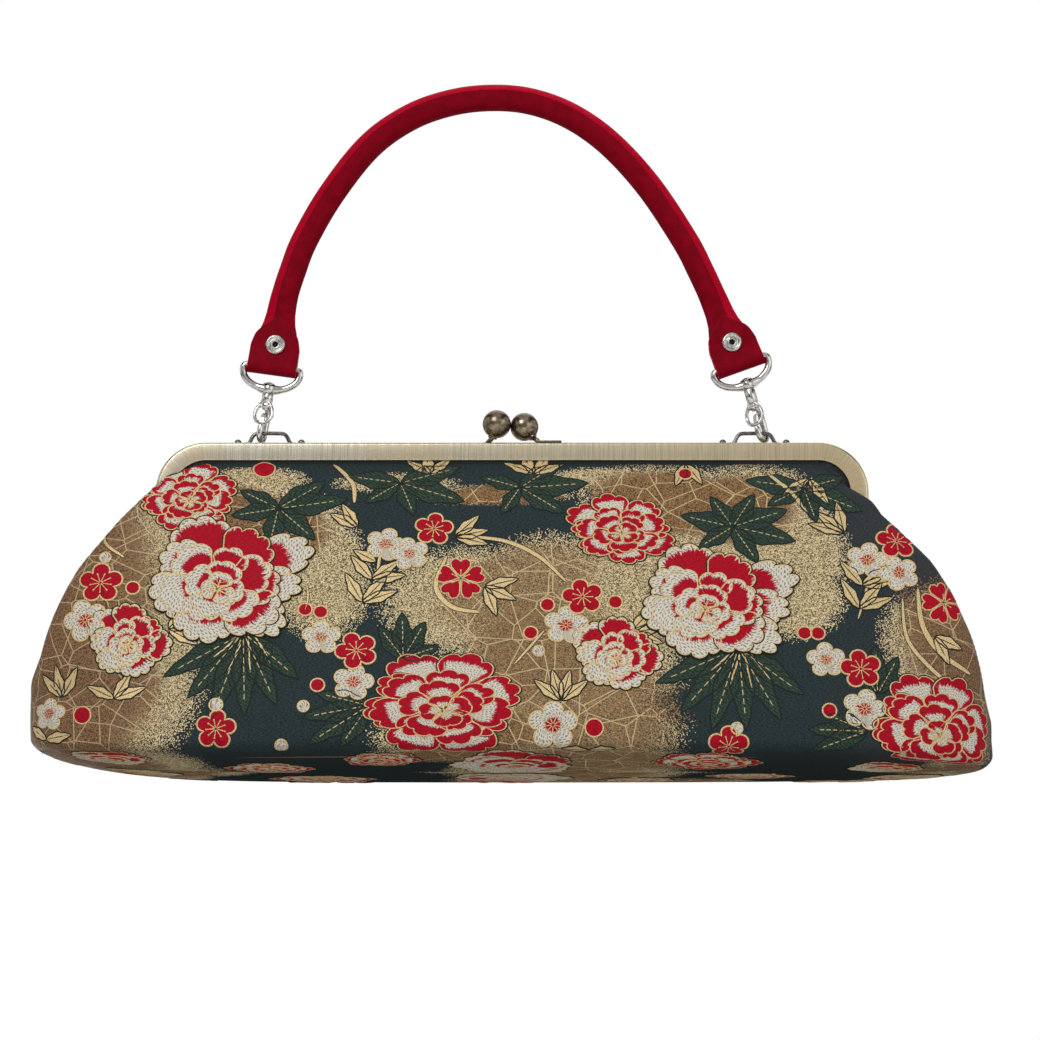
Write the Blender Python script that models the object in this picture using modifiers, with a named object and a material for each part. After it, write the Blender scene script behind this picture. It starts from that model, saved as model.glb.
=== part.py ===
# Kiss lock handbag: a brocade bag body hung in a two-part metal purse frame, closed by two crossing
# ball clasps, with a leather handle hooked on by two swivel snap hooks.
# Metres, +Z up, front towards -Y, origin under the middle of the base.

import bpy
import bmesh
from math import acos, atan2, cos, pi, radians, sin, sqrt
from mathutils import Matrix, Vector

MM = 0.001

# Clearance between pieces that touch
GAP = 0.3 * MM

# Purse frame: two U-shaped channels that meet at Y = 0
FRAME_WIDTH = 270 * MM
FRAME_TOP = 125 * MM
FRAME_CORNER = 19 * MM
CHANNEL_FACE = 7 * MM
CHANNEL_LIP = 5 * MM
CHANNEL_DEPTH = 5.8 * MM
CHANNEL_WALL = 0.8 * MM
HALF_GAP = 0.2 * MM
RIM_ROUND = 1.2 * MM
CORNER_STEPS = 7
HINGE_HEIGHT = 65 * MM
EAR_RADIUS = 4 * MM
EAR_RUN = 0.6 * MM
HINGE_SHANK = 1.4 * MM
HINGE_HEAD = 3 * MM

# Fabric body
BODY_HALF_WIDTH = 175 * MM
BASE_HALF_DEPTH = 45 * MM
SHOULDER_START = 25 * MM
CLOTH = 1.0 * MM
LINING = 0.6 * MM
LINING_EASE = 0.4 * MM
SHARPEST_CORNER = 1.35
BASE_ROLL = 4 * MM
TIP_RISE = 5 * MM
SEAM_TOP_DROP = 8 * MM
BELLY_START = 15 * MM
VALLEY_START = 28 * MM
CHEEK_DEPTH = 13 * MM
CHEEK_HEIGHT = 32 * MM
CHEEK_CLOSING = 1.6
BODY_SQUARENESS = 2.8
MOUTH_SQUARENESS = 4.5
PANEL_STEPS = 8
MOUTH_CLEARANCE = 1.6 * MM
CORD_RADIUS = 0.5 * MM
BOARD_THICKNESS = 1.5 * MM
BOARD_END_MARGIN = 38 * MM
BOARD_SIDE_MARGIN = 12 * MM

# Ball clasps
BALL_RADIUS = 5 * MM
BALL_SPACING = 10.3 * MM
BALL_CROSSING = 0.8 * MM
BALL_HEIGHT = 7.3 * MM
STEM_RADIUS = 0.9 * MM
STEM_FOOT_LENGTH = 9 * MM
STEM_FOOT_WIDTH = 4.2 * MM
STEM_FOOT_START = 9.6 * MM

# Handle loops on the back channel
LOOP_X = 92.5 * MM
LOOP_HALF_SPAN = 6.9 * MM
LOOP_WIRE = 0.7 * MM
LOOP_HEIGHT = 5.0 * MM
LOOP_CORNER = 1.8 * MM
LOOP_RIVET_X = 12.1 * MM
LUG_THICKNESS = 0.8 * MM
LUG_RADIUS = 2.3 * MM
LOOP_RIVET_SHANK = 0.9 * MM
LOOP_RIVET_HEAD = 2.0 * MM

# Snap hooks, drawn about the loop wire with the swivel axis along local Z
HOOK_X = 95.5 * MM
HOOK_WIRE = 1.1 * MM
HOOK_HALF = 2.6 * MM
HOOK_HEAD = 2.2 * MM
HOOK_HEAD_Z = 10.6 * MM
HOOK_NOSE_Z = 2.2 * MM
BARREL_RADIUS = 1.9 * MM
POST_RADIUS = 1.2 * MM
POST_HEAD = 2.0 * MM
GATE_PIVOT_X = -1.0 * MM
GATE_SHEET = 0.5 * MM
PIN_RADIUS = 0.6 * MM
LEFT_LEAN = radians(8)
RIGHT_LEAN = radians(16)
LEFT_YAW = radians(75)
RIGHT_YAW = radians(55)

# D-rings
RING_WIRE = 1.15 * MM
RING_BAR_Z = 26 * MM
RING_BOW_Z = 17.2 * MM
BOSS_RADIUS = 2.8 * MM
BOSS_HEIGHT = 3.4 * MM

# Leather handle
TAB_WIDTH = 18.8 * MM
LEATHER = 1.6 * MM
TAB_SHOULDER = 17 * MM
TAB_POINT = 22 * MM
TAB_RIVET = 8.6 * MM
TAB_CLOSED = 5.5 * MM
STRAP_RIVET_SHANK = 1.5 * MM
STRAP_RIVET_BORE = 0.9 * MM
STRAP_RIVET_HEAD = 4.0 * MM
HANDLE_TOP = 262 * MM
HANDLE_LEAN = -5.5 * MM
STRAP_OUTER = 4.6 * MM
STRAP_INNER = 5.0 * MM
STRAP_DEPTH = 4.5 * MM
TUCK = 5.4 * MM
STRAIGHT_RUN = 4 * MM

# Worked out from the sizes above
HALF_WIDTH = FRAME_WIDTH / 2
LEG_END = HINGE_HEIGHT + EAR_RADIUS + EAR_RUN
FRONT_FACE = HALF_GAP + CHANNEL_DEPTH
MID_CHANNEL = (HALF_GAP + FRONT_FACE) / 2
GROOVE_NEAR = HALF_GAP + CHANNEL_WALL
GROOVE_FAR = FRONT_FACE - CHANNEL_WALL
CLOTH_HEM_Y = GROOVE_FAR - GAP - CLOTH / 2
LINING_INSET = CLOTH / 2 + GAP + LINING / 2 + LINING_EASE
CORD_Y = GROOVE_NEAR + GAP + CORD_RADIUS
INNER_X = HALF_WIDTH - CHANNEL_FACE
INNER_TOP = FRAME_TOP - CHANNEL_FACE
INNER_CORNER = FRAME_CORNER - CHANNEL_FACE
SEAM_TOP = HINGE_HEIGHT - SEAM_TOP_DROP
MOUTH_TOP = INNER_TOP - MOUTH_CLEARANCE
MOUTH_HALF_WIDTH = INNER_X - INNER_CORNER + 7 * MM
HEM_TUCK = MOUTH_CLEARANCE + CHANNEL_FACE - CHANNEL_WALL - 1.8 * MM
LUG_TOP = FRAME_TOP + GAP + LUG_THICKNESS
WIRE_Z = FRAME_TOP + LOOP_HEIGHT
LOOP_Y = MID_CHANNEL
BEND_Z = -LOOP_WIRE - GAP - HOOK_WIRE + HOOK_HALF
BOSS_TOP = RING_BOW_Z + BOSS_HEIGHT / 2
BOSS_BOTTOM = RING_BOW_Z - BOSS_HEIGHT / 2
FLANK_INSIDE = HOOK_WIRE + GAP
TAB_FOLD = RING_WIRE + GAP + LEATHER / 2


def clear_scene():
    for obj in list(bpy.data.objects):
        bpy.data.objects.remove(obj, do_unlink=True)


def new_collection(name):
    collection = bpy.data.collections.new(name)
    bpy.context.scene.collection.children.link(collection)
    return collection


def finish(name, colour, roughness, metallic):
    material = bpy.data.materials.new(name)
    material.use_nodes = True
    shader = material.node_tree.nodes["Principled BSDF"]
    shader.inputs["Base Color"].default_value = (*colour, 1)
    shader.inputs["Roughness"].default_value = roughness
    shader.inputs["Metallic"].default_value = metallic
    material.diffuse_color = (*colour, 1)
    return material


def part(name, data, material=None):
    obj = bpy.data.objects.new(name, data)
    PARTS.objects.link(obj)
    if material:
        data.materials.clear()
        data.materials.append(material)
    return obj


def as_tool(obj):
    """Moves an object to the cutters, where it only serves a Boolean."""
    PARTS.objects.unlink(obj)
    CUTTERS.objects.link(obj)
    obj.hide_render = True
    obj.display_type = "WIRE"
    return obj


def boolean(obj, other, operation):
    modifier = obj.modifiers.new(operation.title(), "BOOLEAN")
    modifier.operation = operation
    modifier.solver = "EXACT"
    modifier.object = as_tool(other)


def as_mesh(curve_object):
    """A curve's evaluated shape as a welded mesh under the same name."""
    bpy.context.view_layer.update()
    graph = bpy.context.evaluated_depsgraph_get()
    mesh = bpy.data.meshes.new_from_object(curve_object.evaluated_get(graph))
    mesh.transform(curve_object.matrix_world)
    shape = bmesh.new()
    shape.from_mesh(mesh)
    bmesh.ops.remove_doubles(shape, verts=shape.verts, dist=1e-6)
    bmesh.ops.recalc_face_normals(shape, faces=shape.faces)
    shape.to_mesh(mesh)
    shape.free()
    name = curve_object.name
    bpy.data.objects.remove(curve_object, do_unlink=True)
    return part(name, mesh)


def polyline(name, points, cyclic=False, flat=False):
    curve = bpy.data.curves.new(name, "CURVE")
    curve.dimensions = "2D" if flat else "3D"
    spline = curve.splines.new("POLY")
    spline.points.add(len(points) - 1)
    for spot, point in zip(spline.points, points):
        spot.co = (*point, 1) if len(point) == 3 else (*point, 0, 1)
    spline.use_cyclic_u = cyclic
    return curve


def wire(name, points, radius, cyclic=False, sides=2):
    curve = polyline(name, points, cyclic)
    curve.bevel_depth = radius
    curve.bevel_resolution = sides
    curve.use_fill_caps = not cyclic
    return part(name, curve)


def plate(name, outline, thickness):
    """A flat outline in XY, extruded to a thickness centred on Z = 0."""
    curve = polyline(name, outline, cyclic=True, flat=True)
    curve.fill_mode = "BOTH"
    curve.extrude = thickness / 2
    return as_mesh(part(name, curve))


def cylinder(name, radius, length, matrix, sides=24):
    shape = bmesh.new()
    bmesh.ops.create_cone(shape, cap_ends=True, segments=sides, radius1=radius, radius2=radius,
                          depth=length, matrix=matrix)
    mesh = bpy.data.meshes.new(name)
    shape.to_mesh(mesh)
    shape.free()
    return part(name, mesh)


def block(name, low, high):
    low, high = Vector(low), Vector(high)
    shape = bmesh.new()
    size = Matrix.Diagonal((*(high - low), 1))
    bmesh.ops.create_cube(shape, size=1, matrix=Matrix.Translation((low + high) / 2) @ size)
    mesh = bpy.data.meshes.new(name)
    shape.to_mesh(mesh)
    shape.free()
    return part(name, mesh)


def turned(name, profile, steps=20, closed=False):
    """A profile of (radius, height) points, top to bottom, turned about local Z."""
    shape = bmesh.new()
    spots = [shape.verts.new((radius, 0, height)) for radius, height in profile]
    pairs = list(zip(spots, spots[1:]))
    if closed:
        pairs.append((spots[-1], spots[0]))
    for pair in pairs:
        shape.edges.new(pair)
    mesh = bpy.data.meshes.new(name)
    shape.to_mesh(mesh)
    shape.free()
    obj = part(name, mesh)
    screw = obj.modifiers.new("Turn", "SCREW")
    screw.steps = steps
    screw.render_steps = steps
    screw.use_merge_vertices = True
    screw.merge_threshold = 0.00001
    return obj


def arc(centre, radius, start, end, steps):
    """Points on a circle from one angle to another, both ends included."""
    angles = [start + (end - start) * step / steps for step in range(steps + 1)]
    return [(centre[0] + radius * cos(angle), centre[1] + radius * sin(angle)) for angle in angles]


def smooth(value):
    value = min(max(value, 0), 1)
    return value * value * (3 - 2 * value)


def mix(first, second, share):
    return first + (second - first) * share


def frame_outline(inset, leg_end):
    """The frame's U, seen from the front as (x, z), a given distance inside its outer edge."""
    radius = FRAME_CORNER - inset
    corner_x = HALF_WIDTH - FRAME_CORNER
    corner_z = FRAME_TOP - FRAME_CORNER
    left = arc((-corner_x, corner_z), radius, pi, pi / 2, CORNER_STEPS)
    right = arc((corner_x, corner_z), radius, pi / 2, 0, CORNER_STEPS)
    ends = HALF_WIDTH - inset
    return [(-ends, leg_end)] + left + right + [(ends, leg_end)]


def channel(name):
    """One pressed channel, swept along the U, as the front half, with its open side inwards."""
    rim = arc((RIM_ROUND, FRONT_FACE - RIM_ROUND), RIM_ROUND, pi, pi / 2, 3)
    section = [(0, HALF_GAP)] + rim + [
        (CHANNEL_FACE, FRONT_FACE), (CHANNEL_FACE, GROOVE_FAR), (CHANNEL_WALL, GROOVE_FAR),
        (CHANNEL_WALL, GROOVE_NEAR), (CHANNEL_LIP, GROOVE_NEAR), (CHANNEL_LIP, HALF_GAP)]
    profile = polyline(name + "_section", section, cyclic=True, flat=True)
    guide = as_tool(part(name + "_section", profile))
    path = polyline(name, frame_outline(0, LEG_END), flat=True)
    path.bevel_mode = "OBJECT"
    path.bevel_object = guide
    path.use_fill_caps = True
    obj = part(name, path)
    obj.rotation_euler = (pi / 2, 0, 0)
    return as_mesh(obj)


def ear(name, side, outer, inner, front):
    """A hinge ear: a disc about the hinge axis and the neck that carries it up into the leg."""
    facing = Matrix.Rotation(pi / 2, 4, "Y")
    middle = side * (outer + inner) / 2
    width = outer - inner
    disc = cylinder(name, EAR_RADIUS, width, Matrix.Translation((middle, 0, HINGE_HEIGHT)) @ facing)
    edges = sorted((side * outer, side * inner))
    near, far = sorted((front * (GAP + HALF_GAP), front * EAR_RADIUS))
    neck = block(name + "_neck", (edges[0], near, HINGE_HEIGHT), (edges[1], far, LEG_END + 3 * MM))
    boolean(disc, neck, "UNION")
    return disc


def set_origin(obj, spot):
    """Puts the object's origin at a world point and leaves its shape where it is."""
    obj.data.transform(Matrix.Translation(-Vector(spot)))
    obj.location = spot


def hinge_layers():
    """X of the ears' faces, outermost first: the front half's pair, then the back half's."""
    front = (HALF_WIDTH - 0.1 * MM, HALF_WIDTH - 0.1 * MM - CHANNEL_WALL)
    back = (front[1] - GAP, front[1] - GAP - CHANNEL_WALL)
    return front, back


def cut_hinge_holes(obj):
    facing = Matrix.Rotation(pi / 2, 4, "Y")
    for side in (-1, 1):
        spot = Matrix.Translation((side * HALF_WIDTH, 0, HINGE_HEIGHT))
        name = obj.name + "_hinge_hole" + str(side)
        boolean(obj, cylinder(name, HINGE_SHANK + GAP, 10 * MM, spot @ facing), "DIFFERENCE")


def front_frame():
    obj = channel("front_frame")
    for side in (-1, 1):
        outer, inner = hinge_layers()[0]
        boolean(obj, ear("front_ear" + str(side), side, outer, inner, -1), "UNION")
    cut_hinge_holes(obj)
    obj.data.materials.append(BRASS)
    set_origin(obj, (0, 0, HINGE_HEIGHT))
    return obj


def back_frame():
    """The back half: its ears are stepped inwards behind the front half's."""
    obj = channel("back_frame")
    obj.data.transform(Matrix.Diagonal((1, -1, 1, 1)))
    obj.data.flip_normals()
    outer, inner = hinge_layers()[1]
    for side in (-1, 1):
        boolean(obj, ear("back_ear" + str(side), side, outer, inner, 1), "UNION")
        edges = sorted((side * inner, side * (HALF_WIDTH - CHANNEL_WALL / 2)))
        step = block("ear_step" + str(side), (edges[0], GROOVE_NEAR - 0.4 * MM, LEG_END + 0.9 * MM),
                     (edges[1], EAR_RADIUS - 0.2 * MM, LEG_END + 4 * MM))
        boolean(obj, step, "UNION")
    cut_hinge_holes(obj)
    for side in (-1, 1):
        for end in (-1, 1):
            spot = (side * LOOP_X + end * LOOP_RIVET_X, LOOP_Y, FRAME_TOP)
            name = "loop_rivet_hole" + str(side) + str(end)
            hole = cylinder(name, LOOP_RIVET_SHANK + GAP, 3 * MM, Matrix.Translation(spot), 16)
            boolean(obj, hole, "DIFFERENCE")
    obj.data.materials.append(BRASS)
    return obj


def hinge_rivet(name, side):
    """A rivet through both ears, with a domed head outside and a peened end inside."""
    head = HALF_WIDTH - 0.1 * MM + GAP
    tail = hinge_layers()[1][1] - GAP
    profile = [(0, head + 1.2 * MM), (1.6 * MM, head + 1.0 * MM), (2.6 * MM, head + 0.6 * MM),
               (HINGE_HEAD, head), (HINGE_SHANK, head), (HINGE_SHANK, tail),
               (2.4 * MM, tail), (2.1 * MM, tail - 0.7 * MM), (0, tail - 0.8 * MM)]
    obj = turned(name, profile)
    obj.rotation_euler = (0, side * pi / 2, 0)
    obj.location = (0, 0, HINGE_HEIGHT)
    obj.data.materials.append(BRASS)


def inner_edge(height, inset):
    """X of the frame's inner edge at a height, a given distance inside it."""
    height = min(height, MOUTH_TOP)
    corner_z = INNER_TOP - INNER_CORNER
    if height <= corner_z:
        return INNER_X - inset
    radius = INNER_CORNER - inset
    rise = min(height - corner_z, radius)
    return INNER_X - INNER_CORNER + sqrt(radius * radius - rise * rise)


def shoulder_rise(height):
    """How far up a level is, from the start of the shoulder to the mouth."""
    return max(0, (height - SHOULDER_START) / (INNER_TOP - SHOULDER_START))


def base_roll(height):
    lift = min((height - CLOTH / 2) / BASE_ROLL, 1)
    return BASE_ROLL * (1 - sqrt(1 - (1 - lift) ** 2))


def near_mouth(height):
    """Rises to 1 over the last stretch, where the cheeks close into the channel."""
    start = LEG_END + CHEEK_HEIGHT
    return smooth((height - start) / (MOUTH_TOP - start))


def cheek_share(height):
    """Rises to 1 at the seam's top, as the side seam sinks between the two cheeks."""
    return smooth((height - VALLEY_START) / (SEAM_TOP - VALLEY_START))


def half_width(height):
    full = BODY_HALF_WIDTH - (BODY_HALF_WIDTH - MOUTH_HALF_WIDTH) * shoulder_rise(height) ** 2
    inside = inner_edge(height, MOUTH_CLEARANCE) - 3 * MM
    return mix(full - base_roll(height), inside, min(CHEEK_CLOSING * near_mouth(height), 1))


def half_depth(height):
    mouth = CLOTH_HEM_Y + 0.1 * MM
    share = min(max(height - BELLY_START, 0) / (MOUTH_TOP - BELLY_START), 1)
    return mouth + (BASE_HALF_DEPTH - mouth) * (1 - share) ** 0.75 - base_roll(height)


def fold_depth(height):
    """Depth of the fold at the side, where the cheek turns back towards the leg."""
    low = CHEEK_DEPTH * sqrt(cheek_share(height))
    share = max(0, (height - SEAM_TOP) / (INNER_TOP - SEAM_TOP))
    cheek = mix(low, FRONT_FACE + 2.2 * MM, share)
    return mix(cheek, CLOTH_HEM_Y + 0.15 * MM, near_mouth(height) ** 2)


def leg_side(height):
    """Where the cheek's back layer reaches the leg, or the side seam below the hinge."""
    if height <= SEAM_TOP:
        return mix(half_width(height), INNER_X - MOUTH_CLEARANCE, cheek_share(height)), 0.0
    back = mix(FRONT_FACE + 1.4 * MM, CLOTH_HEM_Y, near_mouth(height) ** 2)
    return inner_edge(height, MOUTH_CLEARANCE), back


def level_outline(height):
    """One quarter of a level, from the middle of the panel round to the leg or the seam."""
    side, depth, fold = half_width(height), half_depth(height), fold_depth(height)
    power = 2 / mix(BODY_SQUARENESS, MOUTH_SQUARENESS, min(shoulder_rise(height), 1))
    points = []
    for step in range(PANEL_STEPS + 1):
        angle = pi / 2 * (1 - step / PANEL_STEPS)
        run = cos(angle) ** power if step else 0
        points.append((side * run, fold + (depth - fold) * sin(angle) ** power))
    end_x, end_y = leg_side(height)
    seam = height <= SEAM_TOP
    turns = 4 if seam else 3
    for step in range(1, turns + 1):
        angle = pi / 2 * step / turns
        run = cos(angle) if step < turns else 0
        points.append((end_x + (side - end_x) * run, mix(fold, end_y, sin(angle))))
    if not seam:
        points.append((end_x, CLOTH_HEM_Y))
    return points


def levels():
    low = [CLOTH / 2, CLOTH / 2 + 0.3 * BASE_ROLL, CLOTH / 2 + BASE_ROLL]
    panel = [mix(low[-1], SEAM_TOP, share) for share in (0.2, 0.45, 0.63, 0.82, 1)]
    legs = [SEAM_TOP + 6 * MM, LEG_END + 1 * MM]
    shoulder = [mix(legs[-1], MOUTH_TOP, share) for share in (0.25, 0.47, 0.65, 0.8, 0.91, 1)]
    return low + panel + legs + shoulder


def on_body(x, y, height):
    """A point of the body, with the base's pointed ends lifted a little off the ground."""
    lift = TIP_RISE * (abs(x) / BODY_HALF_WIDTH) ** 14 * max(0, 1 - height / (30 * MM))
    return (x, y, height + lift)


def add_hem(shape, rows, front):
    """The edge that goes up into the channel: up both legs and along the mouth."""
    tall = [row for row, height in zip(rows, levels()) if height > LEG_END]
    edge = [row[0] for row in tall] + tall[-1][1:-1] + [row[-1] for row in reversed(tall)]
    hem = []
    for vert in edge:
        corner = Vector((min(abs(vert.co.x), INNER_X - INNER_CORNER), 0,
                         min(vert.co.z, INNER_TOP - INNER_CORNER)))
        away = Vector((abs(vert.co.x), 0, vert.co.z)) - corner
        away.normalize()
        away.x *= 1 if vert.co.x > 0 else -1
        spot = vert.co + away * HEM_TUCK
        hem.append(shape.verts.new((spot.x, front * CLOTH_HEM_Y, spot.z)))
    for column in range(len(edge) - 1):
        shape.faces.new((edge[column], edge[column + 1], hem[column + 1], hem[column]))


def body_sheet(name, thickness, inset):
    """The bag's fabric surface, open at the mouth, a given distance inside the outer cloth."""
    shape = bmesh.new()
    sheets = []
    for front in (-1, 1):
        rows = []
        for height in levels():
            quarter = level_outline(height)
            line = [(-x, y) for x, y in reversed(quarter)] + quarter[1:]
            rows.append([shape.verts.new(on_body(x, front * y, height)) for x, y in line])
        sheets.append(rows)
        for lower, upper in zip(rows, rows[1:]):
            for column in range(len(lower) - 1):
                shape.faces.new((lower[column], lower[column + 1],
                                 upper[column + 1], upper[column]))
        add_hem(shape, rows, front)
    front_row, back_row = sheets[0][0], sheets[1][0]
    for column in range(len(front_row) - 1):
        shape.faces.new((front_row[column], front_row[column + 1],
                         back_row[column + 1], back_row[column]))
    bmesh.ops.remove_doubles(shape, verts=shape.verts, dist=1e-6)
    bmesh.ops.recalc_face_normals(shape, faces=shape.faces)
    shape.normal_update()
    moves = []
    for vert in shape.verts:
        moves.append(vert.normal * inset * min(vert.calc_shell_factor(), SHARPEST_CORNER))
    for vert, move in zip(shape.verts, moves):
        vert.co -= move
    mesh = bpy.data.meshes.new(name)
    shape.to_mesh(mesh)
    shape.free()
    obj = part(name, mesh)
    solid = obj.modifiers.new("Sheet", "SOLIDIFY")
    solid.thickness = thickness
    solid.offset = 0
    return obj


def superellipse(half_x, half_y, power, steps):
    points = []
    for step in range(steps):
        angle = 2 * pi * step / steps
        run, climb = cos(angle), sin(angle)
        x = half_x * abs(run) ** (2 / power) * (1 if run > 0 else -1)
        y = half_y * abs(climb) ** (2 / power) * (1 if climb > 0 else -1)
        points.append((x, y))
    return points


def fabric():
    body_sheet("brocade_body", CLOTH, 0).data.materials.append(BROCADE)
    body_sheet("lining", LINING, LINING_INSET).data.materials.append(RED_CLOTH)
    board = superellipse(BODY_HALF_WIDTH - BOARD_END_MARGIN, BASE_HALF_DEPTH - BOARD_SIDE_MARGIN,
                         3.4, 32)
    obj = plate("base_board", board, BOARD_THICKNESS)
    floor = CLOTH / 2 + LINING_INSET + LINING / 2
    obj.location = (0, 0, floor + GAP + BOARD_THICKNESS / 2)
    obj.data.materials.append(CARD)


def paper_cords():
    """The paper cords that wedge the fabric in each channel."""
    for name, front in (("front_paper_cord", -1), ("back_paper_cord", 1)):
        path = frame_outline(CHANNEL_WALL + 2.4 * MM, LEG_END + 5 * MM)
        obj = wire(name, [(x, front * CORD_Y, z) for x, z in path], CORD_RADIUS, sides=1)
        obj.data.materials.append(PAPER)


def clasp(side, front, name):
    """A ball on a curved neck. The two necks cross, so each ball sits beyond the middle plane."""
    centre = Vector((side * BALL_SPACING / 2, -front * BALL_CROSSING, FRAME_TOP + BALL_HEIGHT))
    foot_y = front * MID_CHANNEL
    start = side * STEM_FOOT_START
    root = Vector((side * (STEM_FOOT_START + 1.6 * MM), foot_y, LUG_TOP - 0.2 * MM))
    inward = (centre - root).normalized()
    tip = centre - inward * (BALL_RADIUS - 2.2 * MM)
    shoulder = centre - inward * (BALL_RADIUS + 1.2 * MM)
    lower = root + Vector((-side * 0.5 * MM, -front * 0.1 * MM, 1.4 * MM))
    neck = polyline(name + "_stem", [root, lower, shoulder, tip])
    neck.bevel_depth = STEM_RADIUS
    neck.bevel_resolution = 2
    neck.use_fill_caps = True
    neck.splines[0].points[0].radius = 1.4
    neck.splines[0].points[1].radius = 1.2
    stem = as_mesh(part(name + "_stem", neck))
    low_x, high_x = sorted((start, start + side * STEM_FOOT_LENGTH))
    half = STEM_FOOT_WIDTH / 2
    foot = block(name + "_foot", (low_x, foot_y - half, FRAME_TOP + GAP),
                 (high_x, foot_y + half, LUG_TOP))
    boolean(stem, foot, "UNION")
    stem.data.materials.append(DARK_BRASS)
    shape = bmesh.new()
    bmesh.ops.create_uvsphere(shape, u_segments=18, v_segments=11, radius=BALL_RADIUS)
    mesh = bpy.data.meshes.new(name + "_ball")
    shape.to_mesh(mesh)
    shape.free()
    ball = part(name + "_ball", mesh, DARK_BRASS)
    ball.location = centre
    turn = inward.to_track_quat("Z", "Y").to_matrix().to_4x4()
    bore_spot = Matrix.Translation(centre - inward * (BALL_RADIUS - 1 * MM)) @ turn
    bore = cylinder(name + "_bore", STEM_RADIUS + GAP, 3 * MM, bore_spot, 16)
    boolean(ball, bore, "DIFFERENCE")


def handle_loop(name, side):
    """A wire arch with a riveted lug at each end, on top of the back channel."""
    middle = side * LOOP_X
    foot_z = FRAME_TOP + GAP + LUG_THICKNESS / 2
    left = arc((-LOOP_HALF_SPAN + LOOP_CORNER, WIRE_Z - LOOP_CORNER), LOOP_CORNER, pi, pi / 2, 4)
    right = arc((LOOP_HALF_SPAN - LOOP_CORNER, WIRE_Z - LOOP_CORNER), LOOP_CORNER, pi / 2, 0, 4)
    path = [(-LOOP_HALF_SPAN, foot_z)] + left + right + [(LOOP_HALF_SPAN, foot_z)]
    arch = as_mesh(wire(name, [(middle + x, LOOP_Y, z) for x, z in path], LOOP_WIRE))
    for end in (-1, 1):
        tag = name + str(end)
        spot = (middle + end * LOOP_RIVET_X, LOOP_Y, foot_z)
        disc = cylinder(tag + "_lug", LUG_RADIUS, LUG_THICKNESS, Matrix.Translation(spot))
        edges = sorted((spot[0], middle + end * (LOOP_HALF_SPAN - 1.2 * MM)))
        bar = block(tag + "_bar", (edges[0], LOOP_Y - 1.5 * MM, FRAME_TOP + GAP),
                    (edges[1], LOOP_Y + 1.5 * MM, LUG_TOP))
        boolean(disc, bar, "UNION")
        hole = cylinder(tag + "_hole", LOOP_RIVET_SHANK + GAP, 3 * MM, Matrix.Translation(spot), 16)
        boolean(disc, hole, "DIFFERENCE")
        boolean(arch, disc, "UNION")
        loop_rivet(name + ("_outer_rivet" if end == side else "_inner_rivet"), spot)
    arch.data.materials.append(NICKEL)


def loop_rivet(name, spot):
    head = LUG_TOP + GAP
    tail = FRAME_TOP - CHANNEL_WALL - GAP
    profile = [(0, 1.1 * MM), (1.1 * MM, 0.9 * MM), (1.8 * MM, 0.4 * MM), (LOOP_RIVET_HEAD, 0),
               (LOOP_RIVET_SHANK, 0), (LOOP_RIVET_SHANK, tail - head), (1.5 * MM, tail - head),
               (1.3 * MM, tail - head - 0.5 * MM), (0, tail - head - 0.5 * MM)]
    obj = turned(name, profile, steps=14)
    obj.location = (spot[0], spot[1], head)
    obj.data.materials.append(NICKEL)


def end_frame(side):
    """Where one handle end hangs: at the loop wire, with local Z along the leaning swivel axis."""
    lean = LEFT_LEAN if side < 0 else RIGHT_LEAN
    spot = Matrix.Translation((side * HOOK_X, LOOP_Y, WIRE_Z))
    return spot @ Matrix.Rotation(-side * lean, 4, "Y")


def ring(name, side):
    """A D-ring whose bow carries the swivel boss."""
    half = TAB_WIDTH / 2 + GAP + 0.05 * MM + RING_WIRE
    top = RING_BAR_Z
    corner = 1.5 * MM
    bow = [(x, top - corner - (top - corner - RING_BOW_Z) * abs(sin(angle)))
           for x, angle in ((half * cos(pi * step / 14), pi * step / 14) for step in range(15))]
    left = arc((-half + corner, top - corner), corner, pi, pi / 2, 3)[1:]
    right = arc((half - corner, top - corner), corner, pi / 2, 0, 3)[:-1]
    path = [(x, 0, z) for x, z in bow + left + right]
    obj = as_mesh(wire(name, path, RING_WIRE, cyclic=True))
    boss = cylinder(name + "_boss", BOSS_RADIUS, BOSS_HEIGHT, Matrix.Translation((0, 0, RING_BOW_Z)))
    bore = cylinder(name + "_bore", POST_RADIUS + GAP, 3 * BOSS_HEIGHT,
                    Matrix.Translation((0, 0, RING_BOW_Z)), 20)
    place = end_frame(side)
    for tool, operation in ((boss, "UNION"), (bore, "DIFFERENCE")):
        boolean(obj, tool, operation)
        tool.matrix_world = place
    obj.matrix_world = place
    obj.data.materials.append(NICKEL)


def hook_path():
    """The hook's wire from its head down the spine, under the loop wire and up to the nose."""
    spine = [(0.3 * MM, HOOK_HEAD_Z + 1.0 * MM), (1.7 * MM, HOOK_HEAD_Z - 0.4 * MM),
             (HOOK_HALF, HOOK_HEAD_Z - 2.4 * MM)]
    bend = arc((0, BEND_Z), HOOK_HALF, 0, -pi, 10)
    return spine + bend + [(-HOOK_HALF, HOOK_NOSE_Z)]


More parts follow.
